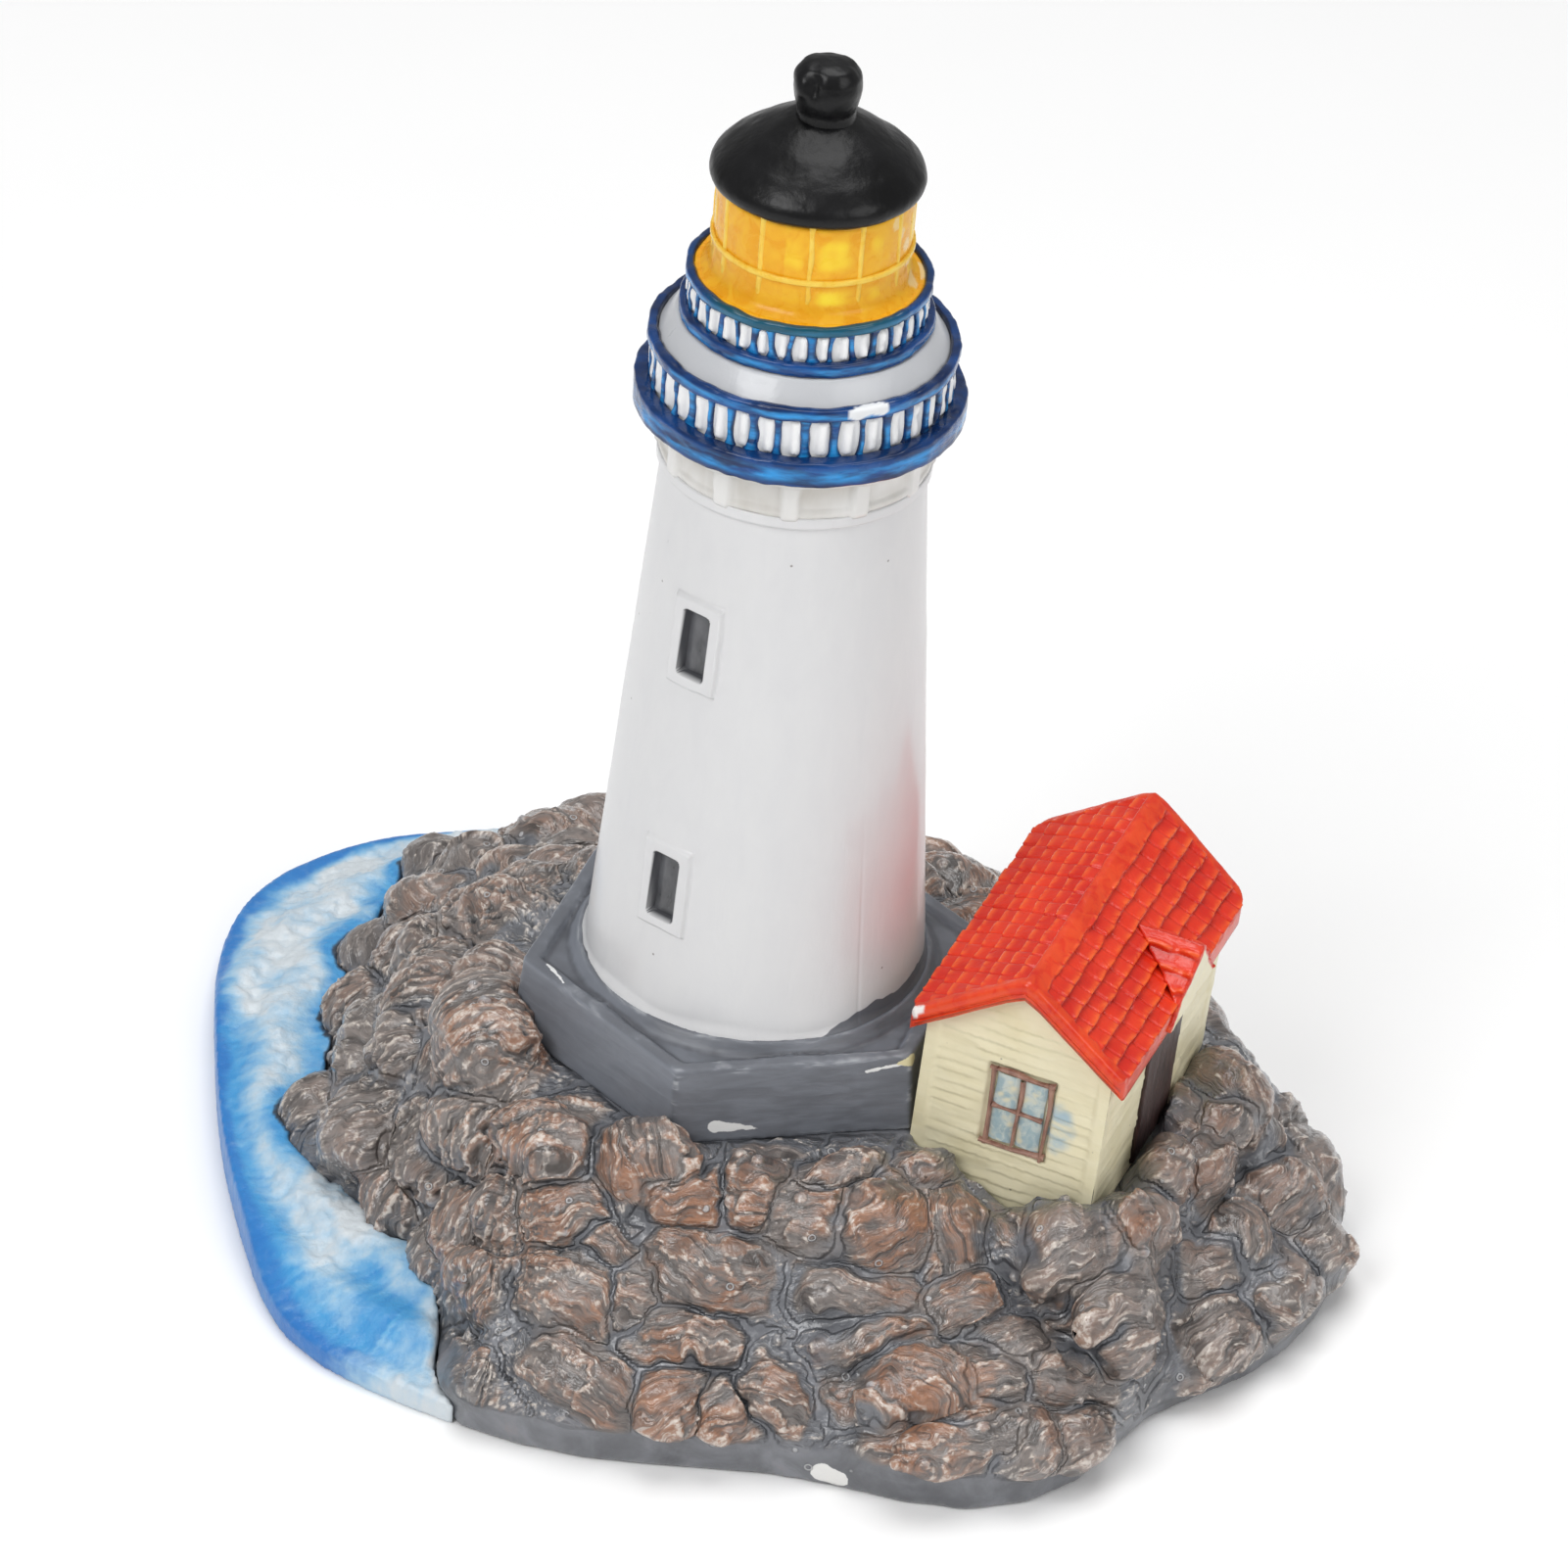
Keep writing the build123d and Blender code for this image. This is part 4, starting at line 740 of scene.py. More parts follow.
def rock_mound():
    s = remeshed("rock_mound")
    s.points = s.relaxed(16)
    x, y, z = s.points.T
    corner = smoothstep(-20, -24, x) * smoothstep(-20, -30, y) * smoothstep(0.8, 2.5, z)
    slope = np.maximum(smoothstep(4, 9, z) * smoothstep(0.5, 3.5, plinth_distance(s.points)), corner)
    s.points = mix(s.points, s.relaxed(130), 0.8 * slope[:, None])
    p = s.points
    x, y, z = p.T
    x += 4.5 * smoothstep(-22, -29, x) * smoothstep(3, 5.5, z) * np.exp(-((y + 38) / 6) ** 2)
    floor = smoothstep(0.2, 2.0, z)
    rugged = smoothstep(28, 46, x + 6 * noise(p / 12, 9))
    band = mix(4.0, 1.6, rugged) + 1.2 * fbm(p / 6, 2, 10)
    plain = np.maximum(smoothstep(band + 1.0, band - 0.6, z),
                       smoothstep(1.6, 0.4, plinth_distance(p) + 0.6 * noise(p / 3, 8)))
    # How far the stones stand out, less beside the cottage and the water
    chance = hashed(np.arange(len(STONES))[:, None] * np.array([1, 5, 11]), 6)
    own, along, across, edge, beyond = stone_places(p, s.normals(), chance)
    house = smoothstep(5.5, 0.5, cottage_distance(p) + 0.8 * noise(p / 3, 28))
    house = house * smoothstep(28, 20, cottage_local(p)[:, 1])
    shore = smoothstep(11, 5, z) * smoothstep(-16, -24, x)
    parted = smoothstep(-0.25, 0.25, fbm(p / 6, 2, 16))
    broad = smoothstep(0.05, 0.4, fbm(p / 8, 2, 39))
    gap = smoothstep(0.06 + 0.2 * broad, 0.5 + 0.25 * broad, beyond - edge)
    top = smoothstep(1.2, 0.84, edge) * mix(0.8 - 0.7 * parted, 1, gap)
    top = top * (1 - plain) * (1 - 0.8 * house) * (1 - 0.55 * shore)
    lean = chance[own.astype(int)]
    facet = 0.6 * lean * along / 5 + 0.5 * np.roll(chance, 7)[own.astype(int)] * across / 4
    _, _, step = cells(columns(along / 7, across / 3, own * 5 + 0.5), 14)
    plate = 0.38 * step + 0.1 * np.sin(9 * step) * across + 0.05 * np.cos(7 * step) * along
    near, far, flake = cells(columns(along / 3.6, across / 1.1, own * 5 + 0.5), 15)
    chip = 0.1 * flake + 0.05 * smoothstep(0.0, 0.25, far - near)
    # Strokes of the carving tool, which run over stones and gaps alike
    _, _, drift = cells(p / 8 + 0.2 * fbm(p / 4, 2, 23)[:, None], 17)
    round_way = np.arctan2(y, x) * 42 + fbm(p / 3, 2, 24)
    up_way = z * 0.8 - np.hypot(x, y) * 0.6 + fbm(p / 3, 2, 25)
    cliff = smoothstep(-16, -24, x) * smoothstep(24, 18, y)
    way = 0.7 * drift + 1.4 * cliff
    a = round_way * np.cos(way) + up_way * np.sin(way)
    u = up_way * np.cos(way) - round_way * np.sin(way)
    carved = 0.24 * (1 - 2 * np.abs(noise(columns(a / 5, u / 1.1, drift * 9), 26)))
    carved = carved + 0.1 * (1 - 2 * np.abs(noise(columns(a / 2.4, u / 0.6, drift * 9), 27)))
    relief = top * (0.75 + 0.25 * lean + np.clip(facet + plate, -0.7, 0.9) + chip)
    relief = relief + carved * mix(1 - 0.6 * top, 1.7, cliff) + 0.12 * fbm(p / 3, 2, 18)
    s.push((relief + 0.1 - 0.8 * house) * floor * (1 - 0.85 * plain) + 0.08 * fbm(p / 3, 2, 19) * floor)
    meeting = smoothstep(0.16, 0.04, beyond - edge)
    s.points = mix(s.points, s.relaxed(1), 0.4)
    s.points = mix(s.points, s.relaxed(4), 0.7 * meeting[:, None])
    # Stones heaped against the near corner of the cottage
    q = cottage_local(s.points)
    heap = smoothstep(8, 2, np.hypot(q[:, 0] - COTTAGE_HALF, q[:, 1]) + 1.5 * fbm(q / 4, 2, 29))
    s.points[:, 2] += 3.0 * heap * smoothstep(-14, -6, q[:, 2])
    rise, pale = bubbles(s.points)
    s.push(rise)
    s.points[:, 2] = np.maximum(s.points[:, 2], 0.0)
    p = s.points
    x, y, z = p.T
    small = s.hollow(3) / 0.05
    middle = s.hollow(14) / 0.22
    # Painted shade: shady and deep darken the hollows, more on the cliffs and towards the back
    shady = 0.15 * cliff + 0.25 * smoothstep(4, 18, y)
    ridge = np.clip(0.3 - 0.3 * middle - 0.1 * small + 0.5 * fbm(p / 6, 2, 20), 0, 1)
    deep = np.clip(0.5 * middle + 0.1 * small - 0.3 + shady, 0, 1) * (1 - plain) * smoothstep(1.0, 4.5, z)
    # edge: pale on sharp convex edges, partly dry-brush and partly painted highlight
    s.masks.update(
        high=np.clip(top * (0.85 - 0.3 * middle), 0, 1), ridge=ridge * (0.1 + 0.9 * top),
        warm=np.clip(0.35 + 0.65 * smoothstep(-45, 5, x - 0.6 * y) + 0.4 * fbm(p / 8, 3, 21)
                     + 0.3 * lean - 0.5 * smoothstep(24, 42, x), 0, 1),
        edge=np.clip(-0.5 * small - 0.25 * middle - 0.1, 0, 1) * (1 - 0.7 * plain),
        deep=deep * smoothstep(-0.15, 0.35, fbm(p / 4, 2, 22) + shady),
        plain=np.maximum(plain, meeting), bubble=pale * 0.8, along=along, across=across, own=own)
    return s.flat_floor(0.06)


rocks = rock_mound()
show("rock_mound", rocks, rock_paint())


# Sea

def sea_apron():
    s = remeshed("sea_apron")
    s.points = s.relaxed(4)
    p = s.points
    x, y, z = p.T
    # A smooth line through the points of the outer edge
    knots = np.vstack([2 * SEA_EDGE[0] - SEA_EDGE[1], SEA_EDGE, 2 * SEA_EDGE[-1] - SEA_EDGE[-2]])
    t = np.linspace(0, 1, 24, endpoint=False)[:, None]
    line = []
    for a, b, c, d in zip(knots, knots[1:], knots[2:], knots[3:]):
        line.append(0.5 * (2 * b + (c - a) * t + (2 * a - 5 * b + 4 * c - d) * t ** 2
                           + (3 * b - a - 3 * c + d) * t ** 3))
    line = np.vstack(line)
    length = np.concatenate([[0], np.cumsum(np.linalg.norm(np.diff(line, axis=0), axis=1))])
    from_edge = np.full(len(p), 1e9)
    where = np.zeros(len(p))
    for spot, run in zip(line, length):
        d = np.hypot(x - spot[0], y - spot[1])
        where = np.where(d < from_edge, run, where)
        from_edge = np.minimum(from_edge, d)
    tree = BVHTree.FromPolygons(rocks.points.tolist(), rocks.faces.tolist())
    from_rock = np.array([tree.find_nearest(Vector(place))[3] for place in p])
    band = from_edge / (from_edge + from_rock + 1e-6)
    band = band + 0.12 * fbm(columns(where / 9, band * 2, 0), 3, 31) + 0.06 * fbm(p / 2.5, 2, 30)
    streak = noise(columns(where / 0.55, from_edge / 5, 0.5), 32) * 0.5 + 0.5
    # Froth: wide at the back, thin in the middle, beside the rock and at the tip in front
    back = smoothstep(12, 26, y)
    front = smoothstep(-4, -16, y)
    wide = smoothstep(0.06, 0.34, band) * smoothstep(0.95, 0.68, band)
    thin = 0.75 * np.exp(-((band - 0.55) / 0.25) ** 2)
    lapping = 0.65 * smoothstep(0.12, 0.5, band) + 0.5 * smoothstep(0.72, 0.9, band)
    patch = smoothstep(7, 2, np.hypot((x + 33) * 0.9, (y + 24) * 0.45))
    foam = mix(mix(thin, wide, back), lapping - 0.6 * patch, front)
    tip = smoothstep(-32, -40, y)
    tuft = smoothstep(6, 1, np.hypot(x + 42, y + 11))
    foam = np.maximum.reduce([foam, 0.9 * tip, 0.9 * tuft]) * (0.9 + 0.5 * fbm(p / 5, 2, 33))
    foam = np.clip(foam + 0.15 * fbm(p / 2, 2, 34), 0, 1)
    top = smoothstep(0.2, 0.8, s.normals()[:, 2])
    first, _, _ = cells(p / 1.2, 35)
    froth = 0.5 * fbm(p / 1.5, 3, 36) + 0.5 * (0.45 - first)
    ripple = 0.06 * streak + 0.07 * fbm(p / 3, 2, 37)
    s.push((froth * smoothstep(0.35, 0.8, foam) + ripple) * np.maximum(top, 0.25) * smoothstep(0.1, 1.2, z))
    s.points[:, 2] = np.maximum(s.points[:, 2], 0.0)
    s.masks["foam"] = foam * np.maximum(top, mix(0.45, 1.0, smoothstep(-18, -32, y)))
    s.masks["rim"] = smoothstep(0.3, 0.0, band)
    s.masks["streak"] = streak
    s.masks["shade"] = smoothstep(0.9, 0.2, from_rock + 0.5 * fbm(p / 1.5, 2, 38)) * smoothstep(-12, 0, y)
    return s


show("sea_apron", sea_apron(), sea_paint())


# Tower

def tower_plinth():
    s = remeshed("tower_plinth")
    s.points = s.relaxed(4)
    s.push(0.12 * fbm(s.points / 4, 3, 41) + 0.03 * fbm(s.points * (0.25, 0.25, 2.0), 2, 42))
    # Masks for painted light: walls that face left, edges that take a highlight, hollows in shade
    s.masks["left"] = 0.7 * smoothstep(0.3, 0.9, -s.normals()[:, 0])
    s.masks["edge"] = np.clip(-s.hollow(8) / 0.06, 0, 1)
    s.masks["deep"] = np.clip(s.hollow(14) / 0.12, 0, 1)
    return s


def shaft_radius(z):
    return SHAFT_FOOT + (SHAFT_TOP - SHAFT_FOOT) * (z - DECK_Z) / (SHAFT_TOP_Z - DECK_Z)


def tower_shaft():
    # Columns and rows lie closer at the windows, and columns at a fine seam beside them
    seam = 1.297
    fine = 5.6
    turn = WINDOW_TURN + np.unique(np.concatenate([
        np.arange(-0.3, 0.3, 0.007), np.linspace(0.3, 2 * math.pi - 0.3, 116)[:-1],
        np.arange(seam - 0.041, seam + 0.04, 0.008)]))
    rows = [np.arange(DECK_Z + 0.3, DECK_Z + 3, 0.25)]
    start = DECK_Z + 3
    for middle in WINDOW_Z:
        rows += [np.arange(start, middle - fine, 0.7), np.arange(middle - fine, middle + fine, 0.12)]
        start = middle + fine
    rows.append(np.arange(start, SHAFT_TOP_Z - 0.4, 0.7))
    t, h = np.meshgrid(turn, np.concatenate(rows), indexing="ij")
    off = t - WINDOW_TURN
    near = np.abs(off) < 0.35
    radius = shaft_radius(h) - 0.05 * np.exp(-((off - seam) / 0.012) ** 2) * smoothstep(60, 45, h)
    radius = radius + 0.45 * smoothstep(34.2, 32.8, h + 0.5 * np.sin(3 * t) * np.sin(5 * t + 1))
    plane = (shaft_radius(h) + WINDOW_PROUD) / np.cos(np.clip(off, -1, 1))
    tint = np.zeros_like(h)
    for middle in WINDOW_Z:
        x = radius * np.sin(off)
        y = h - middle
        ragged = noise(columns(x.ravel(), y.ravel(), middle) / 1.5, 43).reshape(x.shape)
        inside = np.maximum(np.abs(x) - 2.7, np.abs(y) - 4.8) + 0.10 * ragged
        surround = smoothstep(0.25, -0.15, inside) * near
        hole = np.hypot(np.maximum(np.abs(x) - 1.1, 0), np.maximum(np.abs(y) - 3.15, 0)) - 0.42
        recess = smoothstep(0.09, -0.09, hole) * near
        radius = mix(radius, plane, surround) - 1.3 * recess
        tint = np.maximum(tint, smoothstep(0.13, 0.05, hole) * near)
    collar = outline([(SHAFT_TOP + 0.02, SHAFT_TOP_Z - 0.4), (SHAFT_TOP, SHAFT_TOP_Z),
                      (SHAFT_TOP + 0.5, SHAFT_TOP_Z), (SHAFT_TOP + 0.5, CORBEL_Z),
                      (SHAFT_TOP - 1, CORBEL_Z)], 0.15, 2)
    n = len(turn)
    radius = np.hstack([radius, np.tile(collar[:, 0], (n, 1))])
    h = np.hstack([h, np.tile(collar[:, 1], (n, 1))])
    t = np.tile(turn[:, None], (1, h.shape[1]))
    points = np.stack([radius * np.cos(t), radius * np.sin(t), h], axis=2).reshape(-1, 3)
    s = Surface(points, grid(n, h.shape[1], True))
    s.masks["tint"] = np.hstack([tint, np.zeros((n, len(collar)))]).ravel()
    around = np.mod(t + math.pi, 2 * math.pi) - math.pi
    climb = 2.0 * smoothstep(-1.3, -0.75, around) * smoothstep(0.6, 0.1, around)
    s.masks["foot"] = (DECK_Z + 1.1 + climb).ravel()
    return s.push(0.05 * fbm(s.points / 7, 2, 44))


def corbel_ring():
    flange = MAIN_DRUM + 0.85
    line = outline([(SHAFT_TOP - 0.5, CORBEL_Z), (SHAFT_TOP + 0.2, CORBEL_Z), (SHAFT_TOP + 0.2, MAIN_Z - 1.2),
                    (flange, MAIN_Z - 0.6), (flange, MAIN_Z), (flange - 2, MAIN_Z)], 0.2, 2)
    s = lathe(line, 360)
    p = s.points
    x, y, z = p.T
    off = np.abs((np.arctan2(y, x) / (2 * math.pi) * PANES + 0.5) % 1 - 0.5) * 2 * math.pi / PANES * 13.2
    pier = smoothstep(1.15, 0.65, off + 0.12 * noise(p / 1.5, 45)) * smoothstep(MAIN_Z - 0.4, MAIN_Z - 1.2, z)
    foot = smoothstep(CORBEL_Z + 1.0, CORBEL_Z + 0.6, z) * 0.4
    proud = 0.55 * np.maximum(pier, foot) * smoothstep(CORBEL_Z - 0.1, CORBEL_Z + 0.1, z)
    s.push(proud + 0.08 * fbm(p / 2, 2, 46))
    # Painted shade in the recesses between the piers, under the flange, in patches
    s.masks["tint"] = np.clip((1 - pier) * smoothstep(MAIN_Z - 0.3, MAIN_Z - 1.3, s.points[:, 2])
                              * (0.55 + 0.8 * fbm(p / 3, 2, 47)), 0, 0.85)
    return s


def rail(inner, outer, bottom, top, seed):
    line = outline([(inner, bottom), (outer, bottom), (outer, top), (inner, top)], 0.16, 6, True)
    s = lathe(line, 300, True)
    p = s.points
    s.push(0.17 * fbm(p / 2.4, 2, seed) + 0.05 * noise(p / 0.9, seed + 1))
    out = np.hypot(s.points[:, 0], s.points[:, 1])
    share = (s.points[:, 2] - bottom) / (top - bottom)
    # Masks for painted light: a highlight along the middle of the outer face, and shade on the inner face,
    # the bottom and the top
    s.masks["ridge"] = smoothstep(outer - 0.5, outer - 0.1, out) * np.exp(-((share - 0.5) / 0.3) ** 2)
    s.masks["deep"] = np.clip(smoothstep(inner + 0.35, inner, out) + 0.6 * smoothstep(0.2, 0.0, share)
                              + 0.5 * smoothstep(0.8, 1.0, share), 0, 1)
    upmost = smoothstep(LANTERN_UPPER_Z - 0.3, LANTERN_UPPER_Z, p[:, 2])
    s.masks["teal"] = 0.75 * smoothstep(-5.5, -9.5, p[:, 1]) * upmost
    s.masks["chip"] = blots(p, [(5.7, -14.1, 104.8, 0.8), (6.5, -13.7, 105.2, 0.8),
                                (7.2, -13.4, 105.2, 0.8), (7.9, -12.9, 104.9, 0.7)])
    return s


def balusters(radius, bottom, top, depth, width, seed):
    bars = []
    for k in range(BALUSTERS):
        a = 2 * math.pi * (k + 0.5) / BALUSTERS + 0.03 * math.sin(k * 5.7 + seed)
        lean = 0.02 * math.sin(k * 3.1 + seed)
        start = radius * heading(a - lean) + (0, 0, bottom - 0.15)
        end = radius * heading(a + lean) + (0, 0, top + 0.15)
        own = width * (1 + 0.28 * math.sin(k * 2.3 + seed))
        bars.append(pillow(start, end, heading(a), own, depth, k + seed * 40, 0.9, 0.2))
    s = joined(bars)
    # Painted shade on the sides of each bar, in random patches; the middle of the bar takes the painted
    # highlight
    s.masks["deep"] = np.clip(0.5 + 0.9 * fbm(s.points / 1.3, 2, seed), 0, 1) * (1 - s.masks["ridge"]) + 0.15
    return s


def panels(p, bottom, top):
    """The painted gaps between the balusters stand a little proud."""
    x, y, z = p.T
    gap = 0.4 * smoothstep(0.1, 0.7, np.cos(BALUSTERS * np.arctan2(y, x)))
    gap = gap * smoothstep(bottom - 0.2, bottom + 0.4, z) * smoothstep(top + 0.1, top - 0.5, z)
    return gap * (1 + 0.5 * noise(p / 1.2, 50))


def main_gallery():
    line = outline([(12, MAIN_Z), (MAIN_DRUM, MAIN_Z), (MAIN_DRUM, MAIN_UPPER_Z),
                    (MAIN_DRUM - 0.25, MAIN_UPPER_Z), (MAIN_DRUM - 0.25, MAIN_DECK_Z),
                    (LEDGE + 0.1, LANTERN_GALLERY_Z), (10.5, LANTERN_GALLERY_Z)], 0.2, 3)
    s = lathe(line, 360)
    s.push(0.06 * fbm(s.points / 2.5, 3, 51) + panels(s.points, MAIN_BALUSTER_Z, MAIN_UPPER_Z))
    # Painted shade: the deck above the upper rail is darker than the drum
    s.masks["tint"] = smoothstep(MAIN_UPPER_Z, MAIN_DECK_Z, s.points[:, 2]) * 0.9
    return s


def lantern_gallery():
    line = outline([(10.5, LANTERN_GALLERY_Z), (LANTERN_DRUM, LANTERN_GALLERY_Z),
                    (LANTERN_DRUM, LANTERN_UPPER_Z), (10, LANTERN_UPPER_Z)], 0.2, 2)
    s = lathe(line, 360)
    return s.push(0.05 * fbm(s.points / 2.5, 3, 52) + panels(s.points, LANTERN_BALUSTER_Z, LANTERN_UPPER_Z))


def lantern_deck():
    edge = LANTERN_DRUM - 0.2
    s = lathe(outline([(edge, LANTERN_UPPER_Z), (edge, LANTERN_Z), (8.5, LANTERN_Z)], 0.2, 2), 240)
    s.push(0.08 * fbm(s.points / 1.6, 3, 53))
    s.masks["flat"] = np.ones(len(s.points))
    s.masks["chip"] = blots(s.points, [(10.3, 1.7, 112.2, 1.0), (10.5, 0.4, 112.2, 0.8)])
    return s


def lantern_room():
    line = outline([(LANTERN + 1.2, LANTERN_Z - 0.1), (LANTERN + 0.36, LANTERN_Z + 0.6),
                    (LANTERN, LANTERN_Z + 2.0), (LANTERN, ROOF_Z), (LANTERN - 1, ROOF_Z)], 0.2, 4)
    s = lathe(line, 300)
    p = s.points
    x, y, z = p.T
    turn = np.arctan2(y, x)
    side = np.abs((turn / (2 * math.pi) * PANES) % 1 - 0.5) * 2
    upper = np.abs(z - (LANTERN_Z + 6.6)) / 2.6
    lower = np.abs(z - (LANTERN_Z + 2.2)) / 1.3
    pane = np.maximum(smoothstep(1, 0.3, upper), 0.8 * smoothstep(1, 0.3, lower)) * smoothstep(1.1, 0.3, side)
    own = noise(columns(np.round(turn / (math.pi / 6)), 0, 0), 54)
    pane = np.clip(pane * (0.8 + 0.7 * own + 0.5 * fbm(p / 2, 2, 55)), 0, 1)
    s.push(0.05 * fbm(p / 2, 3, 56) + 0.1 * pane)
    # glow: paler in the middle of each pane, most on the panes that face the camera, which is a painted
    # highlight
    s.masks["glow"] = np.clip(0.6 * pane + 0.6 * pane * np.exp(-((turn + 1.45) / 0.35) ** 2), 0, 1)
    s.masks["chip"] = 0.8 * blots(p, [(7.9, -5.2, 120.8, 0.7), (8.3, -4.5, 119.3, 0.6),
                                      (8.9, -3.3, 117.5, 0.7), (9.2, -2.6, 115.4, 0.6),
                                      (9.7, -1.7, 112.9, 0.9)])
    return s


def lantern_mid_ring():
    inner, outer = LANTERN - 0.05, LANTERN + 0.35
    bottom = LANTERN_Z + 3.5
    top = bottom + 0.6
    line = outline([(inner, bottom), (outer, bottom), (outer, top), (inner, top)], 0.1, 3, True)
    s = lathe(line, 260, True)
    return s.push(0.05 * fbm(s.points / 1.3, 2, 57))


def lantern_bars():
    bars = []
    for k in range(PANES):
        out = heading(2 * math.pi * k / PANES)
        for low, high in ((LANTERN_Z + 1.3, LANTERN_Z + 3.6), (LANTERN_Z + 4.0, ROOF_Z + 0.1)):
            start, end = out * LANTERN + (0, 0, low), out * LANTERN + (0, 0, high)
            bars.append(pillow(start, end, out, 0.65, 0.26, 60 + k, 0.1, 0.16))
    return joined(bars)


def lantern_roof():
    brim = ROOF_Z + 1.2
    line = outline([(LANTERN - 1, ROOF_Z), (LANTERN, ROOF_Z), (LANTERN + 0.75, ROOF_Z + 0.35), (BRIM, brim),
                    (BRIM - 0.35, brim + 0.95), (BRIM - 1.6, brim + 2.3), (BRIM - 4.2, brim + 4.15),
                    (3.0, FINIAL_Z), (0, FINIAL_Z)], 0.2, 9)
    s = lathe(line, 260)
    return s.push(0.14 * fbm(s.points / 5, 2, 61) + 0.05 * fbm(s.points / 1.3, 2, 62))


def roof_finial():
    tall = TOP_Z - FINIAL_Z
    sides = [(radius, FINIAL_Z + share * tall) for radius, share in (
        (2.65, 0.12), (2.95, 0.32), (3.1, 0.52), (2.95, 0.74), (2.3, 0.91))]
    ends = [(1.1, TOP_Z - 0.1), (0.0, TOP_Z - 0.05)]
    s = lathe(outline([(2.75, FINIAL_Z - 0.2)] + sides + ends, 0.15, 6), 110)
    p = s.points
    x, y, z = p.T
    high = smoothstep(FINIAL_Z + 1.5, TOP_Z - 2.0, z)
    # A pinched hollow high on the front left, with a lip beside it
    front = smoothstep(0, -1.5, y)
    pit = np.exp(-(((x + 1.3) / 0.55) ** 2 + ((z - TOP_Z + 1.8) / 1.1) ** 2)) * front
    lip = np.exp(-(((x + 2.3) / 0.6) ** 2 + ((z - TOP_Z + 2.3) / 1.2) ** 2)) * front
    s.push(0.28 * fbm(p / 2.6, 2, 64) * high - 0.6 * pit + 0.3 * lip + 0.05 * fbm(p / 0.9, 2, 63))
    s.points = s.points * (1.06, 1.06, 1) + (0.3, 0, 0)
    return s


def window_panes():
    out = heading(WINDOW_TURN)
    panes = []
    for k, middle in enumerate(WINDOW_Z):
        start, end = (out * (shaft_radius(z) + WINDOW_PROUD - 1.0) + (0, 0, z)
                      for z in (middle - 3.4, middle + 3.4))
        panes.append(pillow(start, end, out, 2.8, 0.12, 70 + k, 0.0, 0.0, 13, 25))
    return joined(panes)


gallery_white = white_paint("gallery_white_paint", "f1f2f3", "fafafa", "bcbec2")
corbel_white = white_paint("corbel_white_paint", "dcdbd8", "e9e8e6", "b7b0a4", True)
blue = blue_paint()
amber = amber_paint("amber_paint", "eca314", "f4b928", "ffe238")
pale = amber_paint("pale_amber_paint", "f3c23c", "f8d55c", "fde48c")
black = black_paint()
show("tower_plinth", tower_plinth(), plinth_paint())
show("tower_shaft", tower_shaft(), tower_paint())
show("tower_window_panes", window_panes(), pane_paint())
show("corbel_ring", corbel_ring(), corbel_white)
for gallery, drum, lower, bars, upper in (
        ("main_gallery", main_gallery(), (14.45, 16.2, MAIN_Z, MAIN_BALUSTER_Z, 71),
         (MAIN_DRUM, MAIN_BALUSTER_Z, MAIN_UPPER_Z, 0.55, 0.86, 1),
         (14.1, 15.2, MAIN_UPPER_Z, MAIN_UPPER_Z + 1.4, 73)),
        ("lantern_gallery", lantern_gallery(), (11.35, 12.4, LANTERN_GALLERY_Z, LANTERN_BALUSTER_Z, 75),
         (LANTERN_DRUM, LANTERN_BALUSTER_Z, LANTERN_UPPER_Z, 0.5, 0.72, 2),
         (11.05, 11.95, LANTERN_UPPER_Z, LANTERN_UPPER_Z + 1.1, 77))):
    show(gallery, drum, gallery_white)
    show(gallery + "_lower_rail", rail(*lower), blue)
    show(gallery + "_balusters", balusters(*bars), blue)
    show(gallery + "_upper_rail", rail(*upper), blue)
show("lantern_deck", lantern_deck(), amber)
show("lantern_room", lantern_room(), amber)
show("lantern_mid_ring", lantern_mid_ring(), pale)
show("lantern_glazing_bars", lantern_bars(), pale)
show("lantern_roof", lantern_roof(), black)
show("roof_finial", roof_finial(), black)


# Cottage, in its own frame: X across the front wall, Y to the back, Z up from the floor line

def placed(s):
    m = np.array(COTTAGE)
    s.points = s.points @ m[:3, :3].T + m[:3, 3]
    return s


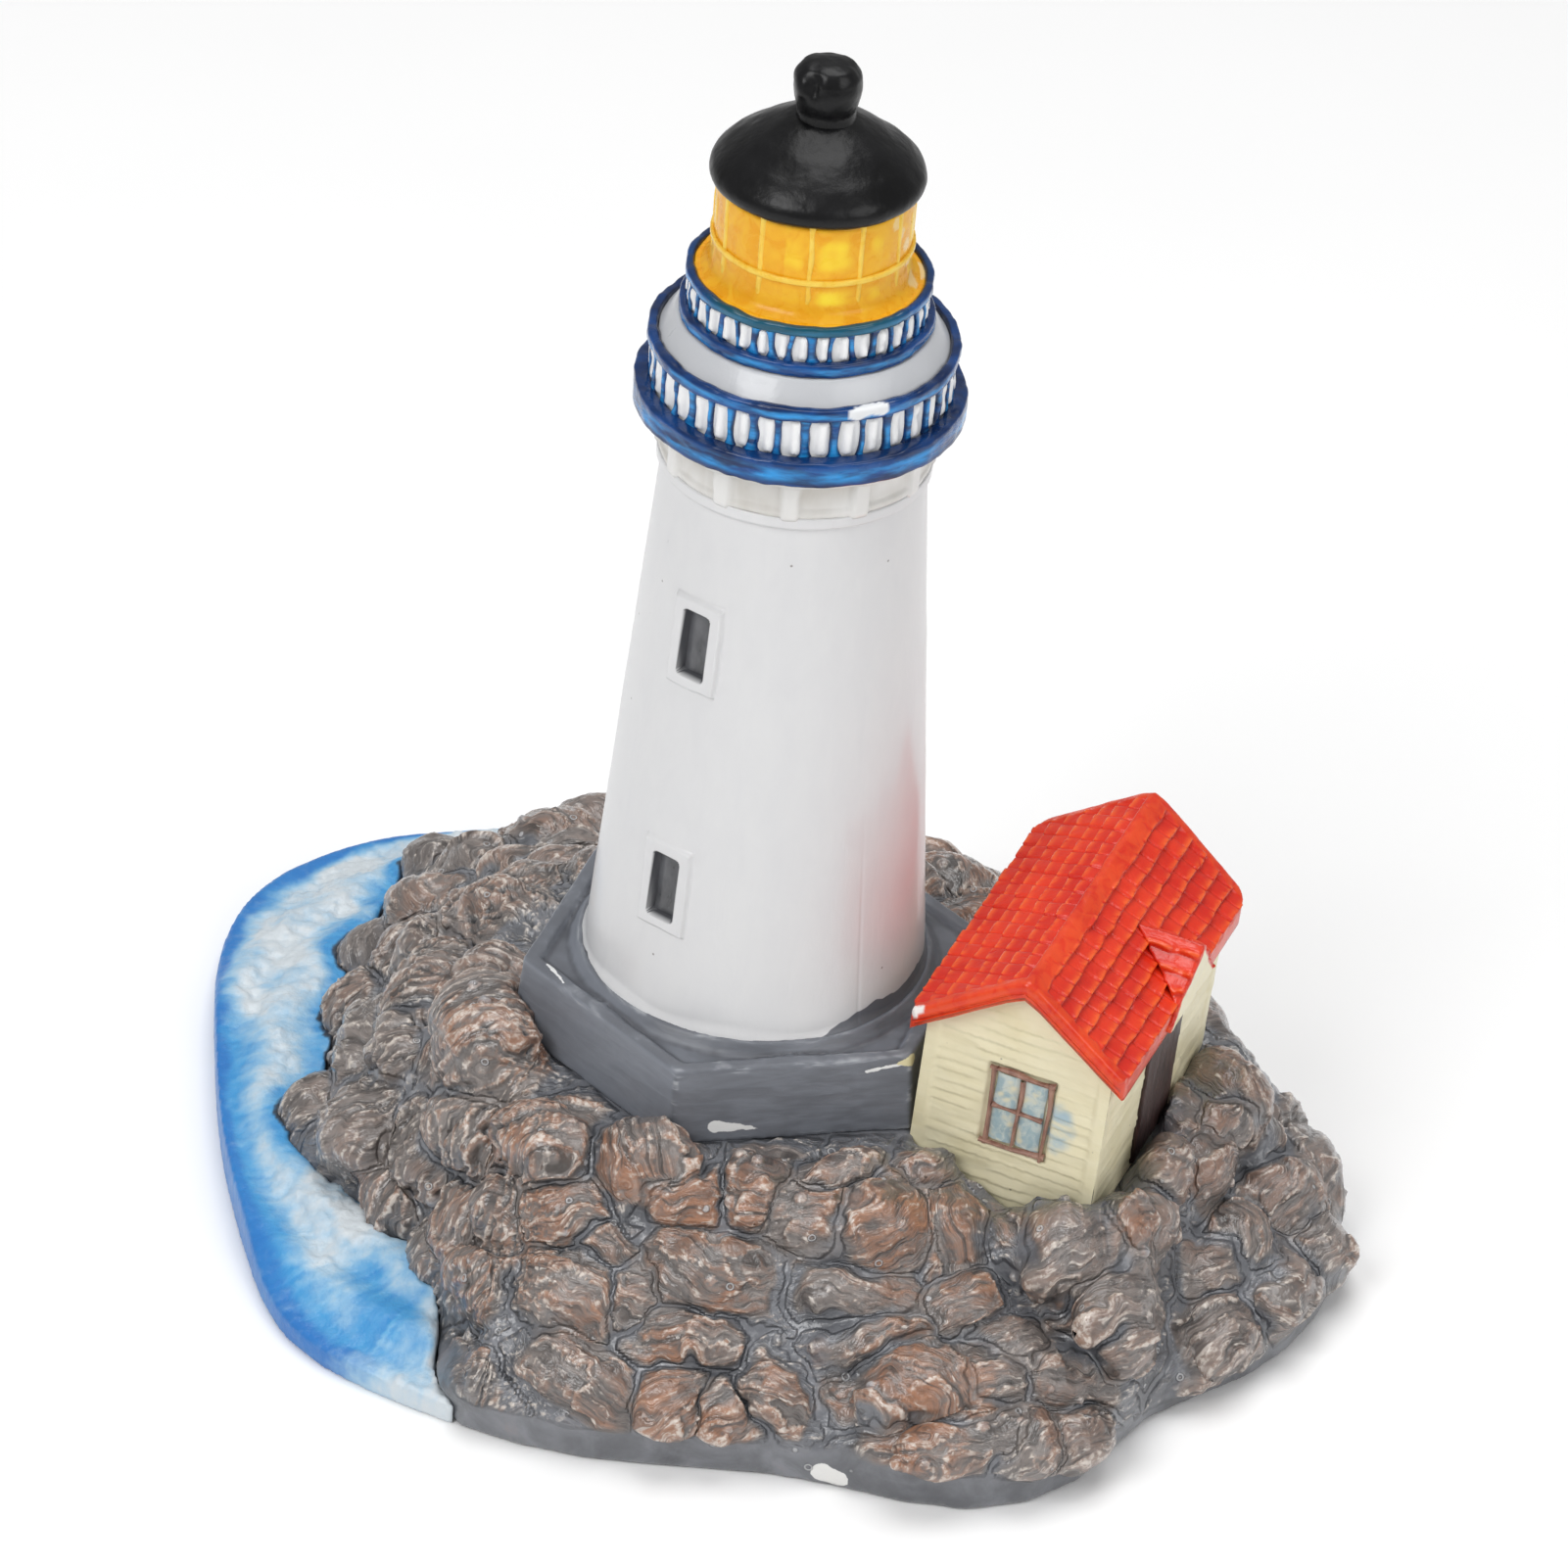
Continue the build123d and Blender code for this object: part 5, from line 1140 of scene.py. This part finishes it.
def wall(start, end, gabled, holes=()):
    """A wall of lapped boards between two corners, with plain boards at its ends."""
    start, end = np.array(start, float), np.array(end, float)
    length = np.linalg.norm(end - start)
    run = (end - start) / length
    out = np.array([run[1], -run[0], 0.0])
    across = np.linspace(-0.2, length + 0.2, int(length / 0.22))
    gable = (COTTAGE_HALF - np.abs(across - length / 2)) * math.tan(PITCH) if gabled else across * 0
    share = np.linspace(0, 1, 150)
    x = np.tile(across[:, None], (1, len(share)))
    z = -COTTAGE_FOOTING + ((EAVES + gable)[:, None] + 0.9 + COTTAGE_FOOTING) * share[None, :]
    x, z = x.ravel(), z.ravel()
    flat = columns(x, z, start[0] + 3 * start[1])
    lap = (z + 0.16 * noise(flat / (5, 2.2, 1), 81)) / 1.3
    lap = lap - np.floor(lap)
    worn = 0.15 + 0.85 * smoothstep(-0.5, 0.5, noise(flat / (3.5, 1.1, 1), 82))
    board = 0.17 * (1 - lap) ** 0.8 * worn
    corner = smoothstep(1.3, 1.0, np.minimum(x, length - x))
    rise = mix(board, 0.22, corner) + 0.06 * fbm(flat / 1.6, 2, 83)
    for x0, x1, z0, z1 in holes:
        beside = np.abs(x - (x0 + x1) / 2) - (x1 - x0) / 2
        above = np.abs(z - (z0 + z1) / 2) - (z1 - z0) / 2
        rise = mix(rise, -0.35, smoothstep(0.2, 0.0, np.maximum(beside, above)))
    points = start * (1, 1, 0) + np.outer(x, run) + np.outer(z, (0, 0, 1)) + np.outer(rise, out)
    s = Surface(points, grid(len(across), len(share)))
    # Painted shade in the groove under each board's lap
    s.masks["deep"] = smoothstep(0.84, 0.97, lap) * (1 - corner) * worn * 0.3
    s.masks["slop"] = np.zeros(len(points))
    return s


def cottage_walls():
    h, n = COTTAGE_HALF, COTTAGE_LENGTH
    front = wall((-h, 0, 0), (h, 0, 0), True, [(h - 2.75, h + 4.25, 3.3, 13.1)])
    x, _, z = front.points.T
    smear = np.hypot((x - 5.1) * 0.9, (z - 8.0) * 0.55) + 0.4 * fbm(front.points, 2, 84)
    front.masks["slop"] = smoothstep(2.0, 0.9, smear)
    right = wall((h, 0, 0), (h, n, 0), False, [(PORCH_Y - 5.0, PORCH_Y + 5.0, -3.5, 11.5)])
    back = wall((h, n, 0), (-h, n, 0), True)
    left = wall((-h, n, 0), (-h, 0, 0), False)
    return placed(joined([front, right, back, left]))


def tiles(u, v, width, courses, length, seed):
    """Staggered tiles at u along the ridge and v down the slope: height, lower edges and seams."""
    v = v + 0.15 * noise(columns(u / 1.8, v / 1.8, seed), 91)
    pitch = width / courses
    row = np.floor(v / pitch)
    fall = v / pitch - row
    count = u / length + 0.5 * (row % 2) + 0.07 * noise(columns(u / 1.5, row * 3.1, seed), 92)
    index = np.floor(count)
    side = np.abs(count - index - 0.5) * 2
    own = hashed(columns(row, index, seed).astype(np.int64), 93)
    seam = smoothstep(0.84, 1.0, side)
    lower = smoothstep(1.0, 0.88, fall)
    height = (0.04 + 0.62 * fall ** 1.2 + 0.14 * own + 0.06 * (1 - side ** 3)) * lower - 0.14 * seam * lower
    return height, np.clip(fall - seam, 0, 1) * lower, np.clip(seam + (1 - lower), 0, 1)


def cottage_roof():
    slant, level, fallen = math.tan(PITCH), math.cos(PITCH), math.sin(PITCH)
    reach = COTTAGE_HALF + OVERHANG
    peak = EAVES + COTTAGE_HALF * slant
    down = reach / level
    rise = 1.6 / level
    ends = (-OVERHANG, COTTAGE_LENGTH + OVERHANG)
    # The outline of the roof from the ridge round the right slope, and back by the left one
    v = np.linspace(0, down, 104)
    u = np.linspace(ends[0], ends[1], 262)
    inward = np.linspace(reach, 0, 14)
    slope = columns(v * level, peak + rise - v * fallen)
    edge = [(reach + 0.02, peak - reach * slant + rise * share) for share in (0.8, 0.5, 0.2)]
    under = columns(inward, peak - inward * slant)
    right = np.vstack([slope, edge, under])
    ring = np.vstack([right, right[::-1][1:-1] * (-1, 1)])
    m, n = len(u), len(ring)
    x = np.tile(ring[:, 0], (m, 1))
    z = np.tile(ring[:, 1], (m, 1))
    y = np.tile(u[:, None], (1, n))
    middle = peak + rise / 2 - np.abs(x) * slant
    tuck = np.minimum(u - ends[0], ends[1] - u)
    ease = np.sqrt(np.clip(1 - (1 - np.clip(tuck / 0.8, 0, 1)) ** 2, 0.04, 1))[:, None]
    z = middle + (z - middle) * ease
    points = np.stack([x, y, z], axis=2).reshape(-1, 3)
    first = np.arange(m - 1) * n
    s = Surface(points, np.vstack([grid(m, n), columns(first + n - 1, first + 2 * n - 1, first + n, first)]))
    col = np.tile(np.arange(n), m)
    top = (col < len(v)) | (col > n - len(v))
    along = points[:, 1] - ends[0]
    fall = np.abs(points[:, 0]) / level
    height, ridge, seam = tiles(along - 1.5, fall, down, 7, 2.3, 1)
    margin = np.minimum(along, ends[1] - ends[0] - along)
    plain = np.maximum(smoothstep(1.7, 1.3, margin + 0.2 * noise(points / 1.2, 94)),
                       smoothstep(1.9, 1.5, fall + 0.2 * noise(points / 1.2, 95)) * (points[:, 0] > -0.3))
    plain = np.maximum(plain, smoothstep(down - 0.25, down - 0.05, fall))
    relief = mix(height, 0.42 * smoothstep(0, 0.5, margin) * smoothstep(down, down - 0.6, fall), plain)
    normal = s.normals()
    if normal[len(v) // 2 + n * 100, 2] < 0:
        s.faces = s.faces[:, ::-1]
        normal = -normal
    lift = np.where(top, relief, 0) + 0.06 * fbm(points / 2.2, 2, 96)
    s.points = s.points + normal * lift[:, None]
    # Rounded corners, and a ridge that climbs a little to the back
    x, y, z = s.points.T
    for end, radius in ((ends[0], 1.2), (ends[1], 2.4)):
        cx = np.maximum(np.abs(x) - (reach - radius), 0)
        cy = np.maximum((y - end) * np.sign(end) + radius, 0)
        over = np.maximum(np.hypot(cx, cy) / radius, 1)
        corner = (cx > 0) & (cy > 0)
        x[:] = np.where(corner, np.sign(x) * (reach - radius + cx / over), x)
        y[:] = np.where(corner, end + np.sign(end) * (cy / over - radius), y)
    z += smoothstep(4, COTTAGE_LENGTH, y) * np.clip(1.0 - 0.9 * x / reach, 0.1, 1.0)
    z -= 0.3 * np.exp(-(x / 0.9) ** 2)
    # Masks for painted light: a highlight on the lower edge of each tile, shade in the seams and on the
    # underside
    s.masks["ridge"] = np.where(top, mix(ridge ** 2, 0.45, plain), 0.45)
    s.masks["deep"] = np.where(top, seam * (1 - plain) * 0.6, 0.1)
    s.caps = [list(range(n)), list(range(len(points) - 1, len(points) - 1 - n, -1))]
    placed(s)
    s.masks["chip"] = blots(s.points, [(16.8, -19.5, 40.3, 0.6), (16.6, -19.0, 39.6, 0.6),
                                       (37.7, -1.2, 45.3, 0.35), (27.5, -2.9, 43.1, 0.25)])
    return s


def cottage_porch():
    s = remeshed("cottage_porch_roof")
    s.points = s.relaxed(14)
    q = cottage_local(s.points)
    x, y, z = q.T
    peak, soffit = z.max(), z.min()
    outward = np.array(COTTAGE)[:3, 0]
    end = smoothstep(0.5, 0.8, s.normals() @ outward)
    under = peak - np.abs(y - PORCH_Y) * (peak - soffit - 1.0) / 6.5 - z
    tuck = 0.3 * smoothstep(2, 5, peak - z) * smoothstep(9, 12, x)
    s.points = s.points - np.outer(tuck, outward)
    s.points[:, 2] += 0.8 * smoothstep(soffit + 1.0, soffit, z)
    s.masks["gable"] = end * smoothstep(0.45, 0.75, under + 0.15 * noise(q, 100))
    fall = (np.abs(y - PORCH_Y) + 0.15 * noise(q / 1.5, 97)) / 1.3
    lap = fall - np.floor(fall)
    top = smoothstep(0.25, 0.6, s.normals()[:, 2])
    edge = smoothstep(0.45, 0.75, lap) * smoothstep(1.0, 0.85, lap)
    breaks = noise(columns(x / 1.2, np.floor(fall) * 3.7, 0), 98)
    s.push(top * (0.35 * edge * (0.6 + 0.7 * breaks)) + 0.12 * fbm(q / 1.5, 2, 99))
    # Masks for painted light: a highlight on the edges of the laps, shade at each lap line and a little over
    # the whole
    s.masks["ridge"] = 0.6 * edge * top
    s.masks["deep"] = np.clip(0.3 + smoothstep(0.2, 0.0, lap) * top * 0.7, 0, 1)
    return s


def cottage_door():
    s = remeshed("cottage_door")
    s.points = s.relaxed(2)
    return s.push(0.09 * fbm(cottage_local(s.points) * (1, 1.2, 0.25), 3, 101))


def on_front(start, end, face, *shape):
    """A bar or a pane on the front wall between two points, given from the middle of the window."""
    x, z = COTTAGE_WINDOW
    (ax, az), (bx, bz) = start, end
    return pillow((x + ax, face, z + az), (x + bx, face, z + bz), (0, -1, 0), *shape)


def cottage_window():
    half, tall = 3.5, 4.9
    left, right, low, high = -half + 0.4, half - 0.4, -tall + 0.4, tall - 0.4
    lines = [((left, -tall), (left, tall)), ((right, -tall), (right, tall)),
             ((-half, high), (half, high)), ((-half, low), (half, low)),
             ((0, -tall + 0.8), (0, tall - 0.8)), ((-half + 0.8, 0.1), (half - 0.8, -0.1))]
    bars = []
    for k, (start, end) in enumerate(lines):
        width = 0.55 if k < 4 else 0.36
        bars.append(on_front(start, end, -0.05, width, 0.45, 110 + k, 0.3, 0.42, 9, 31))
    return placed(joined(bars))


def cottage_panes():
    panes = []
    for k, (x, z) in enumerate(((-1.45, -2.15), (1.45, -2.15), (-1.45, 2.15), (1.45, 2.15))):
        panes.append(on_front((x, z - 1.95), (x, z + 1.95), 0.02, 2.5, 0.2, 120 + k, 0.0, 0.02, 11, 17))
    return placed(joined(panes))


red = red_paint()
door_brown = brown_paint("door_paint", "2b1d1c", "4a3330")
frame_brown = brown_paint("frame_paint", "7a5144", "b08876")
show("cottage_walls", cottage_walls(), cream_paint())
show("cottage_roof", cottage_roof(), red)
show("cottage_porch_roof", cottage_porch(), red)
show("cottage_door", cottage_door(), door_brown)
show("cottage_window_frame", cottage_window(), frame_brown)
show("cottage_window_panes", cottage_panes(), glass_paint())


# Floor, light and camera

FLOOR_HALF = 6.0
AMBIENT = 0.34
LAMPS = (  # name, place and size in metres, power in watts
    ("key", (-0.45, -0.55, 0.75), 0.55, 4.2),
    ("fill", (0.6, -0.5, 0.5), 0.6, 1.8),
    ("top", (0.05, 0.15, 0.9), 0.7, 4.0))
LIT_SPOT = Vector((0, 0, 0.05))
SENSOR = 36.0
FOCAL_PIXELS = 7000
PICTURE_PIXELS = 1601
LOOK_DOWN = math.radians(34)
ROLL = math.radians(4.8)
CAMERA_PLACE = Vector((1.638, -571.523, 438.086)) * MM


def linked(name, data):
    thing = bpy.data.objects.new(name, data)
    bpy.context.scene.collection.objects.link(thing)
    return thing


def studio():
    floor = bpy.data.meshes.new("floor")
    corners = [(x * FLOOR_HALF, y * FLOOR_HALF, 0) for x, y in ((-1, -1), (1, -1), (1, 1), (-1, 1))]
    floor.from_pydata(corners, [], [(0, 1, 2, 3)])
    paper = Paint("floor_paper", Roughness=0.9)
    paper.colour(paper.mixed(paper.noise(60, 2), "fbfbfb", "fefefe"))
    floor.materials.append(paper.material)
    ground = linked("floor", floor)
    world = bpy.data.worlds.new("studio")
    world.use_nodes = True
    world.node_tree.nodes["Background"].inputs[0].default_value = (1, 1, 1, 1)
    world.node_tree.nodes["Background"].inputs[1].default_value = AMBIENT
    bpy.context.scene.world = world
    for name, place, size, power in LAMPS:
        lamp = bpy.data.lights.new(name, "AREA")
        lamp.shape = "DISK"
        lamp.size = size
        lamp.energy = power
        light = linked(name, lamp)
        light.location = place
        light.rotation_euler = (LIT_SPOT - Vector(place)).to_track_quat("-Z", "Y").to_euler()
    lens = bpy.data.cameras.new("camera")
    lens.sensor_width = SENSOR
    lens.lens = SENSOR * FOCAL_PIXELS / PICTURE_PIXELS
    lens.clip_start = 0.01
    lens.clip_end = 20.0
    camera = linked("camera", lens)
    forward = Vector((0, math.cos(LOOK_DOWN), -math.sin(LOOK_DOWN)))
    flat_up = Vector((0, math.sin(LOOK_DOWN), math.cos(LOOK_DOWN)))
    flat_right = Vector((1, 0, 0))
    right = flat_right * math.cos(ROLL) + flat_up * math.sin(ROLL)
    up = flat_up * math.cos(ROLL) - flat_right * math.sin(ROLL)
    turn = Matrix((right, up, -forward)).transposed()
    camera.matrix_world = Matrix.Translation(CAMERA_PLACE) @ turn.to_4x4()
    bpy.context.scene.camera = camera
    bpy.context.scene.view_settings.view_transform = "Standard"


studio()
